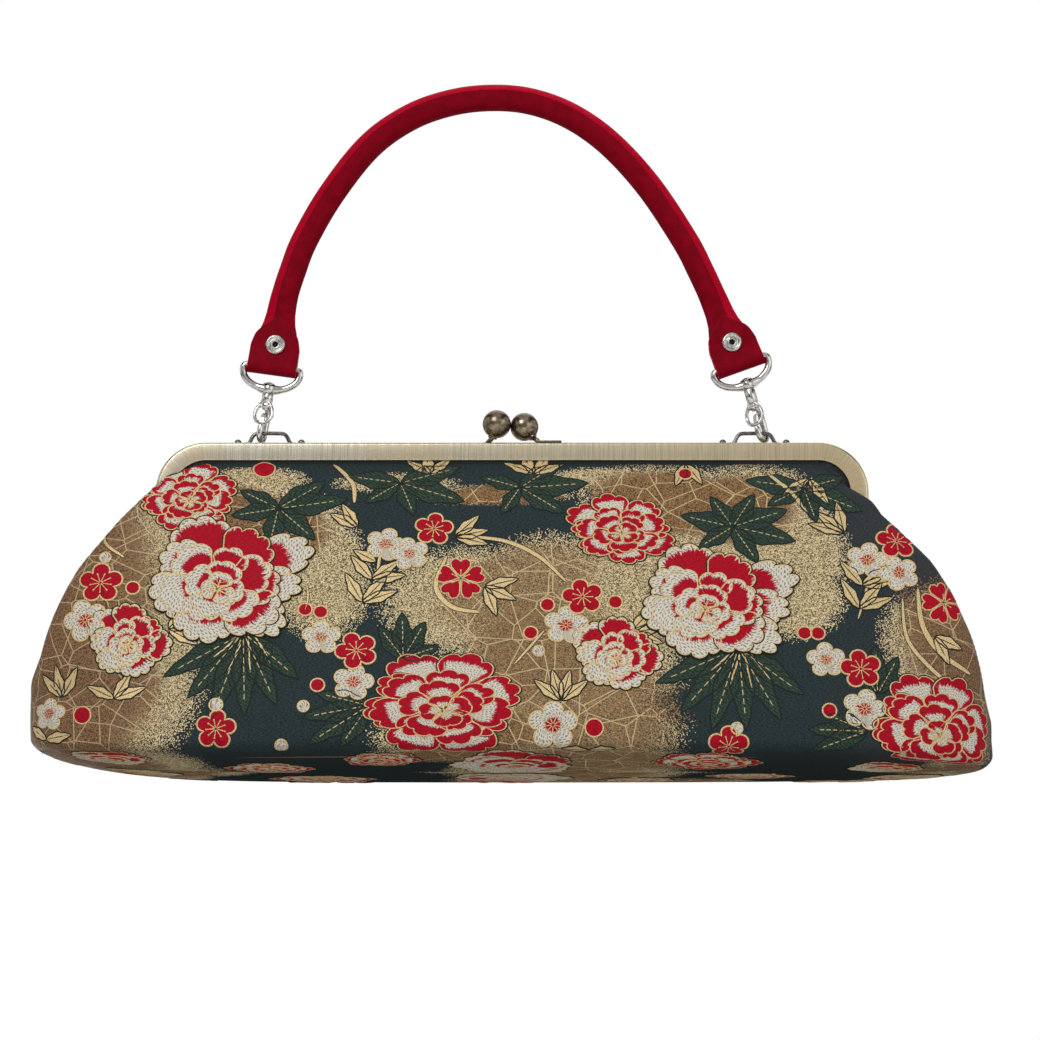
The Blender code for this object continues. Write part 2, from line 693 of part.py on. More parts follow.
def hook(name, place):
    """Hook, barrel and swivel post in one casting, with a bore for the gate's pin."""
    obj = as_mesh(wire(name, [(x, 0, z) for x, z in hook_path()], HOOK_WIRE))
    across = Matrix.Rotation(pi / 2, 4, "X")
    head = cylinder(name + "_head", HOOK_HEAD, 2 * HOOK_WIRE,
                    Matrix.Translation((0, 0, HOOK_HEAD_Z)) @ across)
    barrel_top = BOSS_BOTTOM - GAP
    post = turned(name + "_post", [
        (0, BOSS_TOP + GAP + 1.0 * MM), (1.4 * MM, BOSS_TOP + GAP + 0.8 * MM),
        (POST_HEAD, BOSS_TOP + GAP + 0.2 * MM), (POST_HEAD, BOSS_TOP + GAP),
        (POST_RADIUS, BOSS_TOP + GAP), (POST_RADIUS, barrel_top), (BARREL_RADIUS, barrel_top),
        (BARREL_RADIUS, HOOK_HEAD_Z + 2.0 * MM), (0, HOOK_HEAD_Z + 1.2 * MM)])
    bore = cylinder(name + "_bore", PIN_RADIUS + GAP, 10 * MM,
                    Matrix.Translation((GATE_PIVOT_X, 0, HOOK_HEAD_Z)) @ across, 16)
    for tool, operation in ((head, "UNION"), (post, "UNION"), (bore, "DIFFERENCE")):
        boolean(obj, tool, operation)
        tool.matrix_world = place
    obj.matrix_world = place
    obj.data.materials.append(NICKEL)


def gate(name, place):
    """The snap gate: a sheet folded into two flanks and a back, hung on its pin."""
    back = -HOOK_HALF - HOOK_WIRE
    bottom = HOOK_NOSE_Z + 0.8 * MM
    tall = HOOK_HEAD_Z
    flank = [(back, bottom), (-1.5 * MM, bottom), (-1.3 * MM, tall - 4.2 * MM),
             (-0.2 * MM, tall - 1.4 * MM), (0.4 * MM, tall), (-0.2 * MM, tall + 1.2 * MM),
             (-1.4 * MM, tall + 1.7 * MM), (-2.8 * MM, tall + 0.8 * MM), (back, tall - 1.6 * MM)]
    obj = plate(name, flank, 2 * (FLANK_INSIDE + GATE_SHEET))
    obj.data.transform(Matrix.Rotation(pi / 2, 4, "X"))
    inside = block(name + "_inside", (back + GATE_SHEET, -FLANK_INSIDE, 0),
                   (5 * MM, FLANK_INSIDE, 20 * MM))
    across = Matrix.Rotation(pi / 2, 4, "X")
    bore = cylinder(name + "_bore", PIN_RADIUS + GAP, 10 * MM,
                    Matrix.Translation((GATE_PIVOT_X, 0, HOOK_HEAD_Z)) @ across, 16)
    for tool in (inside, bore):
        boolean(obj, tool, "DIFFERENCE")
        tool.matrix_world = place
    pivot = Matrix.Translation((GATE_PIVOT_X, 0, HOOK_HEAD_Z))
    obj.data.transform(pivot.inverted())
    obj.matrix_world = place @ pivot
    obj.data.materials.append(NICKEL)


def gate_pin(name, place):
    end = FLANK_INSIDE + GATE_SHEET + GAP
    profile = [(0, end + 0.5 * MM), (0.8 * MM, end + 0.4 * MM), (1.1 * MM, end), (PIN_RADIUS, end),
               (PIN_RADIUS, -end), (1.1 * MM, -end), (0.8 * MM, -end - 0.4 * MM), (0, -end - 0.5 * MM)]
    obj = turned(name, profile, steps=12)
    pivot = Matrix.Translation((GATE_PIVOT_X, 0, HOOK_HEAD_Z))
    obj.matrix_world = place @ pivot @ Matrix.Rotation(pi / 2, 4, "X")
    obj.data.materials.append(NICKEL)


def gate_spring(name, place):
    """A leaf from under the hook's head to the inside of the gate."""
    start = (0.5 * MM, HOOK_HEAD_Z - HOOK_HEAD - GAP - 0.25 * MM)
    end = (-HOOK_HALF - HOOK_WIRE + GATE_SHEET + GAP + 0.2 * MM, HOOK_HEAD_Z - 6.4 * MM)
    points = [start, (-0.7 * MM, start[1] - 0.1 * MM), (-1.8 * MM, start[1] - 0.9 * MM),
              (-2.4 * MM, start[1] - 2.2 * MM), end]
    shape = bmesh.new()
    rows = [[shape.verts.new((x, y, z)) for y in (-0.7 * MM, 0.7 * MM)] for x, z in points]
    for first, second in zip(rows, rows[1:]):
        shape.faces.new((first[0], first[1], second[1], second[0]))
    mesh = bpy.data.meshes.new(name)
    shape.to_mesh(mesh)
    shape.free()
    obj = part(name, mesh, NICKEL)
    solid = obj.modifiers.new("Sheet", "SOLIDIFY")
    solid.thickness = 0.25 * MM
    solid.offset = 0
    obj.matrix_world = place


def tab(name, side):
    """One end of the handle leather: folded round the ring's bar and lying double above it."""
    half_layers = LEATHER / 2 + GAP / 2
    closed = sqrt(half_layers * half_layers + TAB_CLOSED * TAB_CLOSED)
    leaves = atan2(TAB_CLOSED, half_layers) - acos(TAB_FOLD / closed)
    fold = arc((0, RING_BAR_Z), TAB_FOLD, pi - leaves, 2 * pi + leaves, 9)
    line = [(-half_layers, RING_BAR_Z + TAB_POINT), (-half_layers, RING_BAR_Z + TAB_CLOSED)]
    line += fold + [(half_layers, RING_BAR_Z + TAB_CLOSED), (half_layers, RING_BAR_Z + TAB_POINT)]
    shape = bmesh.new()
    half = TAB_WIDTH / 2
    rows = [[shape.verts.new((x, y, z)) for x in (-half, half)] for y, z in line]
    for first, second in zip(rows, rows[1:]):
        shape.faces.new((first[0], second[0], second[1], first[1]))
    mesh = bpy.data.meshes.new(name)
    shape.to_mesh(mesh)
    shape.free()
    obj = part(name, mesh)
    solid = obj.modifiers.new("Leather", "SOLIDIFY")
    solid.thickness = LEATHER
    solid.offset = 0
    wide = half + 1 * MM
    shoulder = RING_BAR_Z + TAB_SHOULDER
    outline = [(-wide, RING_BAR_Z - 8 * MM), (wide, RING_BAR_Z - 8 * MM), (wide, shoulder),
               (0, RING_BAR_Z + TAB_POINT - 0.2 * MM), (-wide, shoulder)]
    shape = plate(name + "_outline", outline, 20 * MM)
    shape.data.transform(Matrix.Rotation(pi / 2, 4, "X"))
    boolean(obj, shape, "INTERSECT")
    place = end_frame(side)
    shape.matrix_world = place
    obj.matrix_world = place
    return obj


def strap_section():
    """Half of the padded strap's section is a bright outer face, the other a long inner one."""
    front = [(STRAP_OUTER, 0), (0.92 * STRAP_OUTER, 0.4 * STRAP_DEPTH),
             (0.7 * STRAP_OUTER, 0.76 * STRAP_DEPTH), (0.36 * STRAP_OUTER, STRAP_DEPTH),
             (-0.1 * STRAP_INNER, 0.93 * STRAP_DEPTH), (-0.55 * STRAP_INNER, 0.72 * STRAP_DEPTH),
             (-0.88 * STRAP_INNER, 0.38 * STRAP_DEPTH), (-STRAP_INNER, 0)]
    return front + [(run, -depth) for run, depth in reversed(front[1:-1])]


def strap_point(side, distance):
    """A point on the handle's middle line near one end, as (x, z), and its upward direction."""
    place = end_frame(side)
    spot = place @ Vector((0, 0, RING_BAR_Z + distance))
    up = place.to_3x3() @ Vector((0, 0, 1))
    return Vector((spot.x, spot.z, 0)), Vector((up.x, up.z, 0))


def handle_strap():
    """The arched strap, swept as a curve, joined with its two folded tabs."""
    start, rise = strap_point(-1, TAB_RIVET + TUCK)
    start_up = strap_point(-1, TAB_POINT + STRAIGHT_RUN)[0]
    end, fall = strap_point(1, TAB_RIVET + TUCK)
    end_up = strap_point(1, TAB_POINT + STRAIGHT_RUN)[0]
    apex = Vector(((start.x + end.x) / 2 + HANDLE_LEAN, HANDLE_TOP, 0))
    climb = HANDLE_TOP - start_up.y
    curve = bpy.data.curves.new("handle_strap", "CURVE")
    curve.dimensions = "2D"
    curve.resolution_u = 7
    spline = curve.splines.new("BEZIER")
    spline.bezier_points.add(4)
    left_reach = 0.6 * (apex.x - start_up.x)
    right_reach = 0.6 * (end_up.x - apex.x)
    short = rise * 3 * MM
    stations = [
        (start, start - short, start + short, 0.42),
        (start_up, start_up - short, start_up + rise * 0.44 * climb, 1),
        (apex, apex - Vector((left_reach, 0, 0)), apex + Vector((right_reach, 0, 0)), 1),
        (end_up, end_up + fall * 0.44 * climb, end_up - fall * 3 * MM, 1),
        (end, end + fall * 3 * MM, end - fall * 3 * MM, 0.42)]
    for spot, (centre, before, after, scale) in zip(spline.bezier_points, stations):
        spot.handle_left_type = "FREE"
        spot.handle_right_type = "FREE"
        spot.co = centre
        spot.handle_left = before
        spot.handle_right = after
        spot.radius = scale
    profile = polyline("strap_section", strap_section(), cyclic=True, flat=True)
    curve.bevel_mode = "OBJECT"
    curve.bevel_object = as_tool(part("strap_section", profile))
    curve.use_fill_caps = True
    sweep = part("handle_strap", curve)
    sweep.rotation_euler = (pi / 2, 0, 0)
    sweep.location = (0, LOOP_Y, 0)
    obj = as_mesh(sweep)
    for side, word in ((-1, "left"), (1, "right")):
        boolean(obj, tab(word + "_tab", side), "UNION")
        place = end_frame(side) @ Matrix.Translation((0, 0, RING_BAR_Z + TAB_RIVET))
        across = Matrix.Rotation(pi / 2, 4, "X")
        hole = cylinder(word + "_strap_hole", STRAP_RIVET_SHANK + GAP, 20 * MM, place @ across)
        boolean(obj, hole, "DIFFERENCE")
        strap_rivet(word + "_strap_rivet", place @ across)
    obj.data.materials.append(LEATHER_RED)
    set_origin(obj, (0, LOOP_Y, WIRE_Z))


def strap_rivet(name, place):
    """A tubular rivet: a grooved front head, a hollow shank and a rolled back."""
    face = LEATHER + GAP / 2 + GAP
    bore, head = STRAP_RIVET_BORE, STRAP_RIVET_HEAD
    profile = [(bore, face + 0.9 * MM), (0.42 * head, face + 0.9 * MM), (0.52 * head, face + 0.6 * MM),
               (0.62 * head, face + 0.9 * MM), (0.85 * head, face + 0.9 * MM),
               (head, face + 0.4 * MM), (head, face), (STRAP_RIVET_SHANK, face),
               (STRAP_RIVET_SHANK, -face), (0.7 * head, -face), (0.6 * head, -face - 0.6 * MM),
               (bore, -face - 0.6 * MM)]
    obj = turned(name, profile, steps=24, closed=True)
    obj.matrix_world = place
    obj.data.materials.append(NICKEL)


def handle_hardware():
    for side, word, yaw in ((-1, "left", LEFT_YAW), (1, "right", RIGHT_YAW)):
        handle_loop(word + "_loop", side)
        ring(word + "_ring", side)
        place = end_frame(side) @ Matrix.Rotation(yaw, 4, "Z")
        hook(word + "_hook", place)
        gate(word + "_gate", place)
        gate_pin(word + "_gate_pin", place)
        gate_spring(word + "_gate_spring", place)


clear_scene()
PARTS = new_collection("kiss_lock_handbag")
CUTTERS = new_collection("cutters")
BRASS = finish("antique_brass", (0.48, 0.42, 0.28), 0.35, 1.0)
DARK_BRASS = finish("dark_brass", (0.16, 0.12, 0.08), 0.25, 1.0)
NICKEL = finish("nickel", (0.42, 0.42, 0.42), 0.2, 1.0)
BROCADE = finish("brocade", (0.20, 0.16, 0.08), 0.6, 0.0)
RED_CLOTH = finish("lining_cloth", (0.25, 0.01, 0.03), 0.75, 0.0)
CARD = finish("board", (0.20, 0.12, 0.08), 0.85, 0.0)
PAPER = finish("paper_cord", (0.62, 0.52, 0.38), 0.9, 0.0)
LEATHER_RED = finish("red_leather", (0.30, 0.005, 0.03), 0.42, 0.0)

front_frame()
back_frame()
hinge_rivet("left_hinge_rivet", -1)
hinge_rivet("right_hinge_rivet", 1)
fabric()
paper_cords()
clasp(1, -1, "front_clasp")
clasp(-1, 1, "back_clasp")
handle_hardware()
handle_strap()
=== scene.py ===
# Kiss lock handbag: the finished look of the brocade bag, its purse frame, ball clasps and handle.
# Sizes are in millimetres. X is to the right, Z is up and the front is at -Y.

from math import acos, atan2, cos, pi, radians, sin, sqrt

import bmesh
import bpy
import numpy as np
from mathutils import Matrix, Vector, noise
from mathutils.geometry import delaunay_2d_cdt


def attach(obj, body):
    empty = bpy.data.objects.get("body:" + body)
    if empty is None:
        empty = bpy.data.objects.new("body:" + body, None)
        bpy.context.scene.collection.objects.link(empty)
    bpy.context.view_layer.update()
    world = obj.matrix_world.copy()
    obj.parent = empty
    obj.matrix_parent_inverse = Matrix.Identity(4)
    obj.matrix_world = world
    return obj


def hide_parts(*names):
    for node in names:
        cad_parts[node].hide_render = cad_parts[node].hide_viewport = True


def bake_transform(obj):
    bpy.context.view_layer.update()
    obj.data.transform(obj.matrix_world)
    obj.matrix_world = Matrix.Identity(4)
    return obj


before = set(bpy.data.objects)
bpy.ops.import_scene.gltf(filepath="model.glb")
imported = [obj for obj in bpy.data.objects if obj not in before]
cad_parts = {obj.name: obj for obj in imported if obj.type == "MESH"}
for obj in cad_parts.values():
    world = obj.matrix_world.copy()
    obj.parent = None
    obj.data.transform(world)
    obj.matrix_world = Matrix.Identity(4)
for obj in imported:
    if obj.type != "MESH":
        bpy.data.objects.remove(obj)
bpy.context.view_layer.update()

MM = 0.001

# Purse frame, as in the CAD
HALF_WIDTH, FRAME_TOP, FRAME_CORNER = 135, 125, 19
CORNER_X, CORNER_Z = HALF_WIDTH - FRAME_CORNER, FRAME_TOP - FRAME_CORNER
CHANNEL_FACE, CHANNEL_LIP, CHANNEL_WALL = 7, 5, 0.8
FACE_BOTTOM = FRAME_TOP - CHANNEL_FACE
BRUSH_RADIUS = 16  # at which the brush lines turn in the frame's corners
FACE_NEAR, FACE_FAR = 0.2, 6.0
LEG_END, HINGE = 69.6, 65

# Bag body, as in the CAD
BODY_HALF, BASE_DEPTH = 175, 45
SHOULDER, MOUTH_TOP, SEAM_TOP, NARROWING = 25, 116.4, 57, 52
BASE_ROLL, CLOTH, HEM_Y, HEM_TUCK = 4, 1.0, 4.4, 6.2
COLUMNS = 92  # of the cloth's grid, on each side of its middle
FRONT_EDGE_RISE = 4.4  # how far the base's front edge is lifted, as the photo shows it
LINING_INSET, LINING = 1.5, 0.6

# Handle and hardware: RIGHT_RISE, TAB_TOP and HANDLE_SPOTS follow the photo, the rest the CAD
WIRE_Z, LOOP_Y, LOOP_X, HOOK_X = 130, 3.1, 92.5, 95.5
RING_BAR, RING_BOW, RING_WIRE, RING_HALF, RIGHT_RISE = 26, 17.2, 1.15, 10.9, 2.4
TAB_HALF, TAB_RIVET, LEATHER = 9.4, 8.6, 1.6
TAB_TOP = [(0, 20.4), (7.2, 13.8), (8.2, 12.2), (8.9, 10), (9.4, 7.6)]
STRAP_START = 9  # above the ring's bar
HANDLE_SPOTS = [(-88, 182), (-84.5, 194), (-80, 206), (-70, 224), (-55.5, 243), (-40, 254.5),
                (-24, 260.5), (-8, 262.5), (7.5, 261), (23, 255), (38, 244), (53, 227),
                (66.5, 206), (72.5, 194), (78, 181.5)]


def smooth(value):
    value = np.clip(value, 0, 1)
    return value * value * (3 - 2 * value)


def mix(first, second, share):
    return first + (second - first) * share


# Materials


class Nodes:
    """A node tree, with short ways to add nodes to it."""

    def __init__(self, tree):
        self.nodes, self.links = tree.nodes, tree.links

    def put(self, socket, value):
        if isinstance(value, bpy.types.NodeSocket):
            self.links.new(value, socket)
        else:
            socket.default_value = value

    def give(self, node, inputs):
        for key, value in inputs.items():
            self.put(node.inputs[key], value)

    def node(self, kind, inputs=None, **settings):
        made = self.nodes.new("ShaderNode" + kind)
        for key, value in settings.items():
            setattr(made, key, value)
        self.give(made, inputs or {})
        return made

    def math(self, operation, *values):
        return self.node("Math", dict(enumerate(values)), operation=operation).outputs[0]

    def times(self, first, second):
        return self.math("MULTIPLY", first, second)

    def plus(self, first, second):
        return self.math("ADD", first, second)

    def minus(self, first, second):
        return self.math("SUBTRACT", first, second)

    def larger(self, first, second):
        return self.math("MAXIMUM", first, second)

    def vector(self, operation, first, second):
        return self.node("VectorMath", {0: first, 1: second}, operation=operation).outputs[0]

    def mixed(self, share, first, second):
        made = self.node("Mix", data_type="RGBA")
        for index, value in ((0, share), (6, first), (7, second)):
            if isinstance(value, tuple):
                value = (*value, 1)
            self.put(made.inputs[index], value)
        return made.outputs[2]

    def between(self, value, low, high, to_low=0.0, to_high=1.0):
        made = self.node("MapRange", {"Value": value, "From Min": low, "From Max": high,
                                      "To Min": to_low, "To Max": to_high})
        return made.outputs[0]


class Finish(Nodes):
    """One material."""

    def __init__(self, name, colour=None, roughness=0.5, metallic=0.0, gloss=0.5):
        self.material = bpy.data.materials.new(name)
        self.material.use_nodes = True
        super().__init__(self.material.node_tree)
        self.shader = self.nodes["Principled BSDF"]
        self.surface = self.nodes["Material Output"].inputs["Surface"]
        self.give(self.shader, {"Roughness": roughness, "Metallic": metallic,
                                "Specular IOR Level": gloss})
        if colour:
            self.paint((*colour, 1))

    def paint(self, colour, roughness=None):
        self.give(self.shader, {"Base Color": colour})
        if roughness:
            self.give(self.shader, {"Roughness": roughness})

    def place(self):
        """Object coordinates in millimetres."""
        coords = self.node("TexCoord").outputs["Object"]
        return self.vector("MULTIPLY", coords, (1000, 1000, 1000))

    def along_cloth(self):
        """The piece's own cloth coordinates: across the bag and up it, in millimetres."""
        return self.node("UVMap", uv_map="Cloth").outputs["UV"]

    def value_of(self, attribute):
        return self.node("Attribute", attribute_name=attribute).outputs["Fac"]

    def scaled(self, coords, *factors):
        return self.vector("MULTIPLY", coords, factors)

    def turned(self, coords, degrees):
        return self.node("Mapping", {"Vector": coords,
                                     "Rotation": (0, 0, radians(degrees))}).outputs[0]

    def grain(self, coords, scale, detail=2.0, roughness=0.5):
        return self.node("TexNoise", {"Vector": coords, "Scale": scale, "Detail": detail,
                                      "Roughness": roughness}).outputs["Fac"]

    def bump(self, height, distance, strength=1.0):
        made = self.node("Bump", {"Height": height, "Distance": distance, "Strength": strength})
        self.give(self.shader, {"Normal": made.outputs[0]})


TEAL, TEAL_LIGHT = (0.008, 0.016, 0.018), (0.036, 0.050, 0.052)
LIGHT_GOLD, GOLD_SHADE = (0.73, 0.58, 0.32), (0.08, 0.06, 0.04)
BROWN, BROWN_SHADE = (0.34, 0.19, 0.08), (0.05, 0.03, 0.018)
RED, RED_SHADE = (0.44, 0.004, 0.019), (0.25, 0.002, 0.010)
# Of the next two colours, the second is painted shade, for where the cloth turns round towards its
# sides.
LINING_RED, PAINTED_TURN_SHADE = (0.25, 0.008, 0.02), (0.12, 0.06, 0.075)
WHITE, WHITE_DASH = (0.62, 0.57, 0.48), (0.08, 0.08, 0.06)
LEAF, LEAF_LIGHT = (0.011, 0.026, 0.018), (0.062, 0.095, 0.066)
GOLD_THREAD, GOLD_DARK = (0.74, 0.57, 0.29), (0.30, 0.19, 0.07)


def weave_rows(made, cloth, pitch_u, pitch_v, dash, thick):
    """Rows of short dashes laid like bricks, 1 on a dash and 0 between."""
    parts = made.node("SeparateXYZ", {"Vector": cloth}).outputs
    row = made.math("DIVIDE", parts["Y"], pitch_v)
    shift = made.times(made.math("FLOOR", row), 0.5)
    across = made.math("FRACT", made.plus(made.math("DIVIDE", parts["X"], pitch_u), shift))
    on_row = made.math("LESS_THAN", made.math("FRACT", row), thick)
    return made.times(on_row, made.math("LESS_THAN", across, dash))


def brocade_finish():
    """The ground: teal, gold and brown clouds that fade into each other in specks of thread."""
    made = Finish("brocade_ground", gloss=0.06)
    cloth = made.along_cloth()
    cell = made.node("VectorMath", {0: made.scaled(cloth, 3.0, 3.4, 0)}, operation="FLOOR")
    speck = made.node("TexWhiteNoise", {"Vector": cell.outputs[0]},
                      noise_dimensions="2D").outputs["Value"]
    fine = made.grain(made.scaled(cloth, 1.1, 3.4, 0), 1.0, 3)
    teal = made.mixed(made.between(fine, 0.35, 0.65), TEAL, TEAL_LIGHT)
    shade = made.times(speck, 0.75)
    light = made.mixed(made.between(made.plus(shade, made.times(fine, 0.6)), 0.45, 0.9),
                       LIGHT_GOLD, GOLD_SHADE)
    brown = made.mixed(made.between(made.plus(shade, fine), 0.6, 1.15), BROWN, BROWN_SHADE)
    nets = []
    for scale, shift in ((0.075, 3.0), (0.055, 11.0)):
        moved = made.vector("ADD", made.scaled(cloth, scale, 1.2 * scale, 0), (shift, shift, 0))
        net = made.node("TexVoronoi", {"Vector": moved, "Scale": 1.0}, feature="DISTANCE_TO_EDGE",
                        voronoi_dimensions="2D").outputs["Distance"]
        nets.append(made.between(net, 0.13 * scale, 0.26 * scale, 1.0, 0.0))
    in_brown, in_gold = made.value_of("Brown"), made.value_of("Gold")
    browned = made.math("GREATER_THAN", in_brown, made.plus(0.15, made.times(speck, 0.7)))
    gilded = made.math("GREATER_THAN", in_gold, made.plus(0.04, made.times(speck, 0.92)))
    netted = made.times(made.larger(*nets), made.between(in_brown, 0.1, 0.3, 0.0, 0.65))
    gold = made.mixed(netted, made.mixed(browned, light, brown), LIGHT_GOLD)
    ground = made.mixed(gilded, teal, gold)
    # Painted shade: the ground darkens towards a dull purple where the cloth turns round towards
    # its sides.
    ground = made.mixed(made.times(made.value_of("PaintedTurnShade"), 0.15), ground, PAINTED_TURN_SHADE)
    ground = made.mixed(made.value_of("Inside"), ground, LINING_RED)
    made.paint(ground, made.between(gilded, 0, 1, 0.62, 0.42))
    up_cloth = made.node("SeparateXYZ", {"Vector": cloth}).outputs["Y"]
    ribs = made.math("SINE", made.times(up_cloth, 14.0))
    made.bump(made.plus(made.times(ribs, 0.25), fine), 0.00009, 0.8)
    return made.material


def petal_finish():
    """Red and white petal threads, which fan out from each petal's root."""
    made = Finish("petal_thread", roughness=0.55, gloss=0.08)
    fan = made.node("UVMap", uv_map="Petal").outputs["UV"]
    streak = made.grain(made.scaled(fan, 1.5, 0.14, 0), 1.0, 3, 0.6)
    share = made.plus(made.value_of("Blush"), made.times(made.minus(streak, 0.5), 1.6))
    wander = made.node("TexNoise", {"Vector": fan, "Scale": 0.35, "Detail": 2.0}).outputs["Color"]
    slant = made.vector("ADD", made.turned(fan, 28), made.scaled(wander, 3, 2.4, 0))
    dashes = weave_rows(made, slant, 2.5, 1.05, 0.56, 0.42)
    white = made.mixed(made.times(dashes, 0.75), WHITE, WHITE_DASH)
    fine = made.grain(made.scaled(made.along_cloth(), 0.8, 4.2, 0), 1.0, 2)
    red = made.mixed(made.between(fine, 0.4, 0.62), RED, RED_SHADE)
    made.paint(made.mixed(made.between(share, 0.44, 0.56), red, white))
    made.bump(made.minus(fine, made.times(dashes, 0.6)), 0.0001, 0.9)
    return made.material


def leaf_finish():
    made = Finish("leaf_thread", roughness=0.6, gloss=0.06)
    cloth = made.along_cloth()
    rows = weave_rows(made, made.turned(cloth, 35), 2.6, 1.15, 0.75, 0.42)
    fine = made.grain(made.scaled(cloth, 1.5, 3.6, 0), 1.0, 2)
    green = made.mixed(made.between(fine, 0.35, 0.7), LEAF, LEAF_LIGHT)
    made.paint(made.mixed(made.times(rows, 0.6), green, TEAL))
    made.bump(made.minus(fine, made.times(rows, 0.7)), 0.0001, 0.9)
    return made.material


def gold_finish():
    made = Finish("gold_thread", roughness=0.45, metallic=0.25, gloss=0.3)
    fine = made.grain(made.scaled(made.along_cloth(), 2.2, 3.2, 0), 1.0, 2)
    made.paint(made.mixed(made.between(fine, 0.42, 0.66), GOLD_THREAD, GOLD_DARK))
    made.bump(fine, 0.0001, 0.8)
    return made.material


def mottled(made, coords, detail, first, second, bump=0.0):
    """Finishes a plain soft material whose two colours run into each other."""
    fine = made.grain(coords, 1.0, detail)
    made.paint(made.mixed(fine, first, second))
    if bump:
        made.bump(fine, bump, 0.6)
    return made.material


def brass_finish():
    """Brushed antique brass: the brush lines cross the frame, and dark wax lies in them. Towards
    the left end a painted sheen makes it paler.
    """
    made = Finish("antique_brass", metallic=1.0)
    spots = made.place()
    along = made.value_of("Along")
    line = made.node("CombineXYZ", {"X": made.times(along, 2.6)}).outputs[0]
    across = made.scaled(spots, 0.02, 0.05, 0.05)
    brush = made.grain(made.vector("ADD", line, across), 1.0, 4, 0.7)
    wear = made.grain(spots, 0.035, 2)
    # Painted sheen: the colour is paler and whiter towards the frame's left end, where the light
    # falls from the left.
    bright = made.mixed(made.between(along, -110, 130), (0.75, 0.73, 0.64), (0.70, 0.57, 0.35))
    colour = made.mixed(made.between(brush, 0.34, 0.62, 0.0, 0.9), bright, (0.38, 0.32, 0.21))
    colour = made.mixed(made.between(wear, 0.48, 0.68, 0.0, 0.5), colour, (0.60, 0.47, 0.28))
    made.paint(colour, made.between(brush, 0.3, 0.7, 0.26, 0.42))
    made.bump(brush, 0.00006, 0.5)
    return made.material


def plain_metal(name, bright, dark, roughness, scale=0.6):
    made = Finish(name, metallic=1.0)
    wear = made.grain(made.place(), scale, 4)
    made.paint(made.mixed(made.between(wear, 0.35, 0.7), bright, dark),
               made.between(wear, 0.3, 0.7, roughness, roughness + 0.12))
    made.bump(wear, 0.00003, 0.4)
    return made.material


def leather_finish(name, bright, dark):
    made = Finish(name, gloss=0.035)
    spots = made.place()
    pores = made.node("TexVoronoi", {"Vector": spots, "Scale": 1.7}).outputs["Distance"]
    cloud, fine = made.grain(spots, 0.25, 4), made.grain(spots, 3.0, 3)
    made.paint(made.mixed(made.between(cloud, 0.35, 0.65), bright, dark),
               made.between(fine, 0.3, 0.7, 0.44, 0.6))
    made.bump(made.plus(made.times(pores, 0.7), fine), 0.00012, 0.5)
    return made.material


GROUND, PETAL, GREEN, GOLD = brocade_finish(), petal_finish(), leaf_finish(), gold_finish()
dark = Finish("dark_thread", roughness=0.65, gloss=0.1)
soft = Finish("lining_cloth", roughness=0.7, gloss=0.1)
DARK = mottled(dark, dark.scaled(dark.along_cloth(), 3, 3, 3), 2, (0.006, 0.010, 0.010),
               (0.022, 0.030, 0.026))
LINING_CLOTH = mottled(soft, soft.scaled(soft.place(), 1.6, 1.6, 1.6), 3, (0.16, 0.004, 0.012),
                       (0.34, 0.012, 0.028), 0.0001)
card, cord = Finish("board", roughness=0.85), Finish("paper_cord", roughness=0.9)
BOARD = mottled(card, card.scaled(card.place(), 0.5, 0.5, 0.5), 4, (0.15, 0.085, 0.05),
                (0.27, 0.17, 0.10))
PAPER = mottled(cord, cord.scaled(cord.place(), 1, 1, 2.5), 2, (0.42, 0.33, 0.22),
                (0.66, 0.56, 0.42))
BRASS = brass_finish()
BALL_BRASS = plain_metal("dark_brass", (0.30, 0.245, 0.165), (0.10, 0.08, 0.055), 0.2)
NICKEL = plain_metal("nickel", (0.64, 0.62, 0.59), (0.44, 0.42, 0.40), 0.1)
DARK_NICKEL = plain_metal("dark_nickel", (0.22, 0.20, 0.19), (0.09, 0.08, 0.08), 0.2)
RIVET_NICKEL = plain_metal("rivet_nickel", (0.60, 0.58, 0.54), (0.30, 0.29, 0.27), 0.22, 1.2)
# Painted shade for the inside of the rivets' hollow holes.
RIVET_HOLE_SHADE = Finish("rivet_hole_painted_shade", (0.012, 0.011, 0.011), 0.6, gloss=0.1).material
# One red leather painted with light and shade: a lit copy for the strap's outer face, a lighter
# copy as a painted highlight on the tab's edges, and a shaded copy for the strap's side and the
# tab's faces.
LIT_LEATHER = leather_finish("painted_lit_leather", (0.40, 0.001, 0.018), (0.33, 0.0008, 0.013))
EDGE_HIGHLIGHT_LEATHER = leather_finish("painted_highlight_leather", (0.52, 0.02, 0.06), (0.44, 0.012, 0.04))
SHADED_LEATHER = leather_finish("painted_shade_leather", (0.215, 0.0006, 0.009), (0.165, 0.0004, 0.006))


# Shared ways to make pieces


def deselect():
    bpy.ops.object.select_all(action="DESELECT")


def take(obj):
    deselect()
    bpy.context.view_layer.objects.active = obj
    obj.select_set(True)
    return obj


def mesh_piece(name, points, faces, *materials):
    """A piece from points in millimetres."""
    mesh = bpy.data.meshes.new(name)
    mesh.from_pydata((np.asarray(points, float) * MM).tolist(), [], faces)
    mesh.update()
    obj = bpy.data.objects.new(name, mesh)
    bpy.context.scene.collection.objects.link(obj)
    for material in materials:
        mesh.materials.append(material)
    return obj


def note(obj, name, values):
    """Writes one number for each point of a piece, for its material to read."""
    obj.data.attributes.new(name, "FLOAT", "POINT").data.foreach_set("value", values)


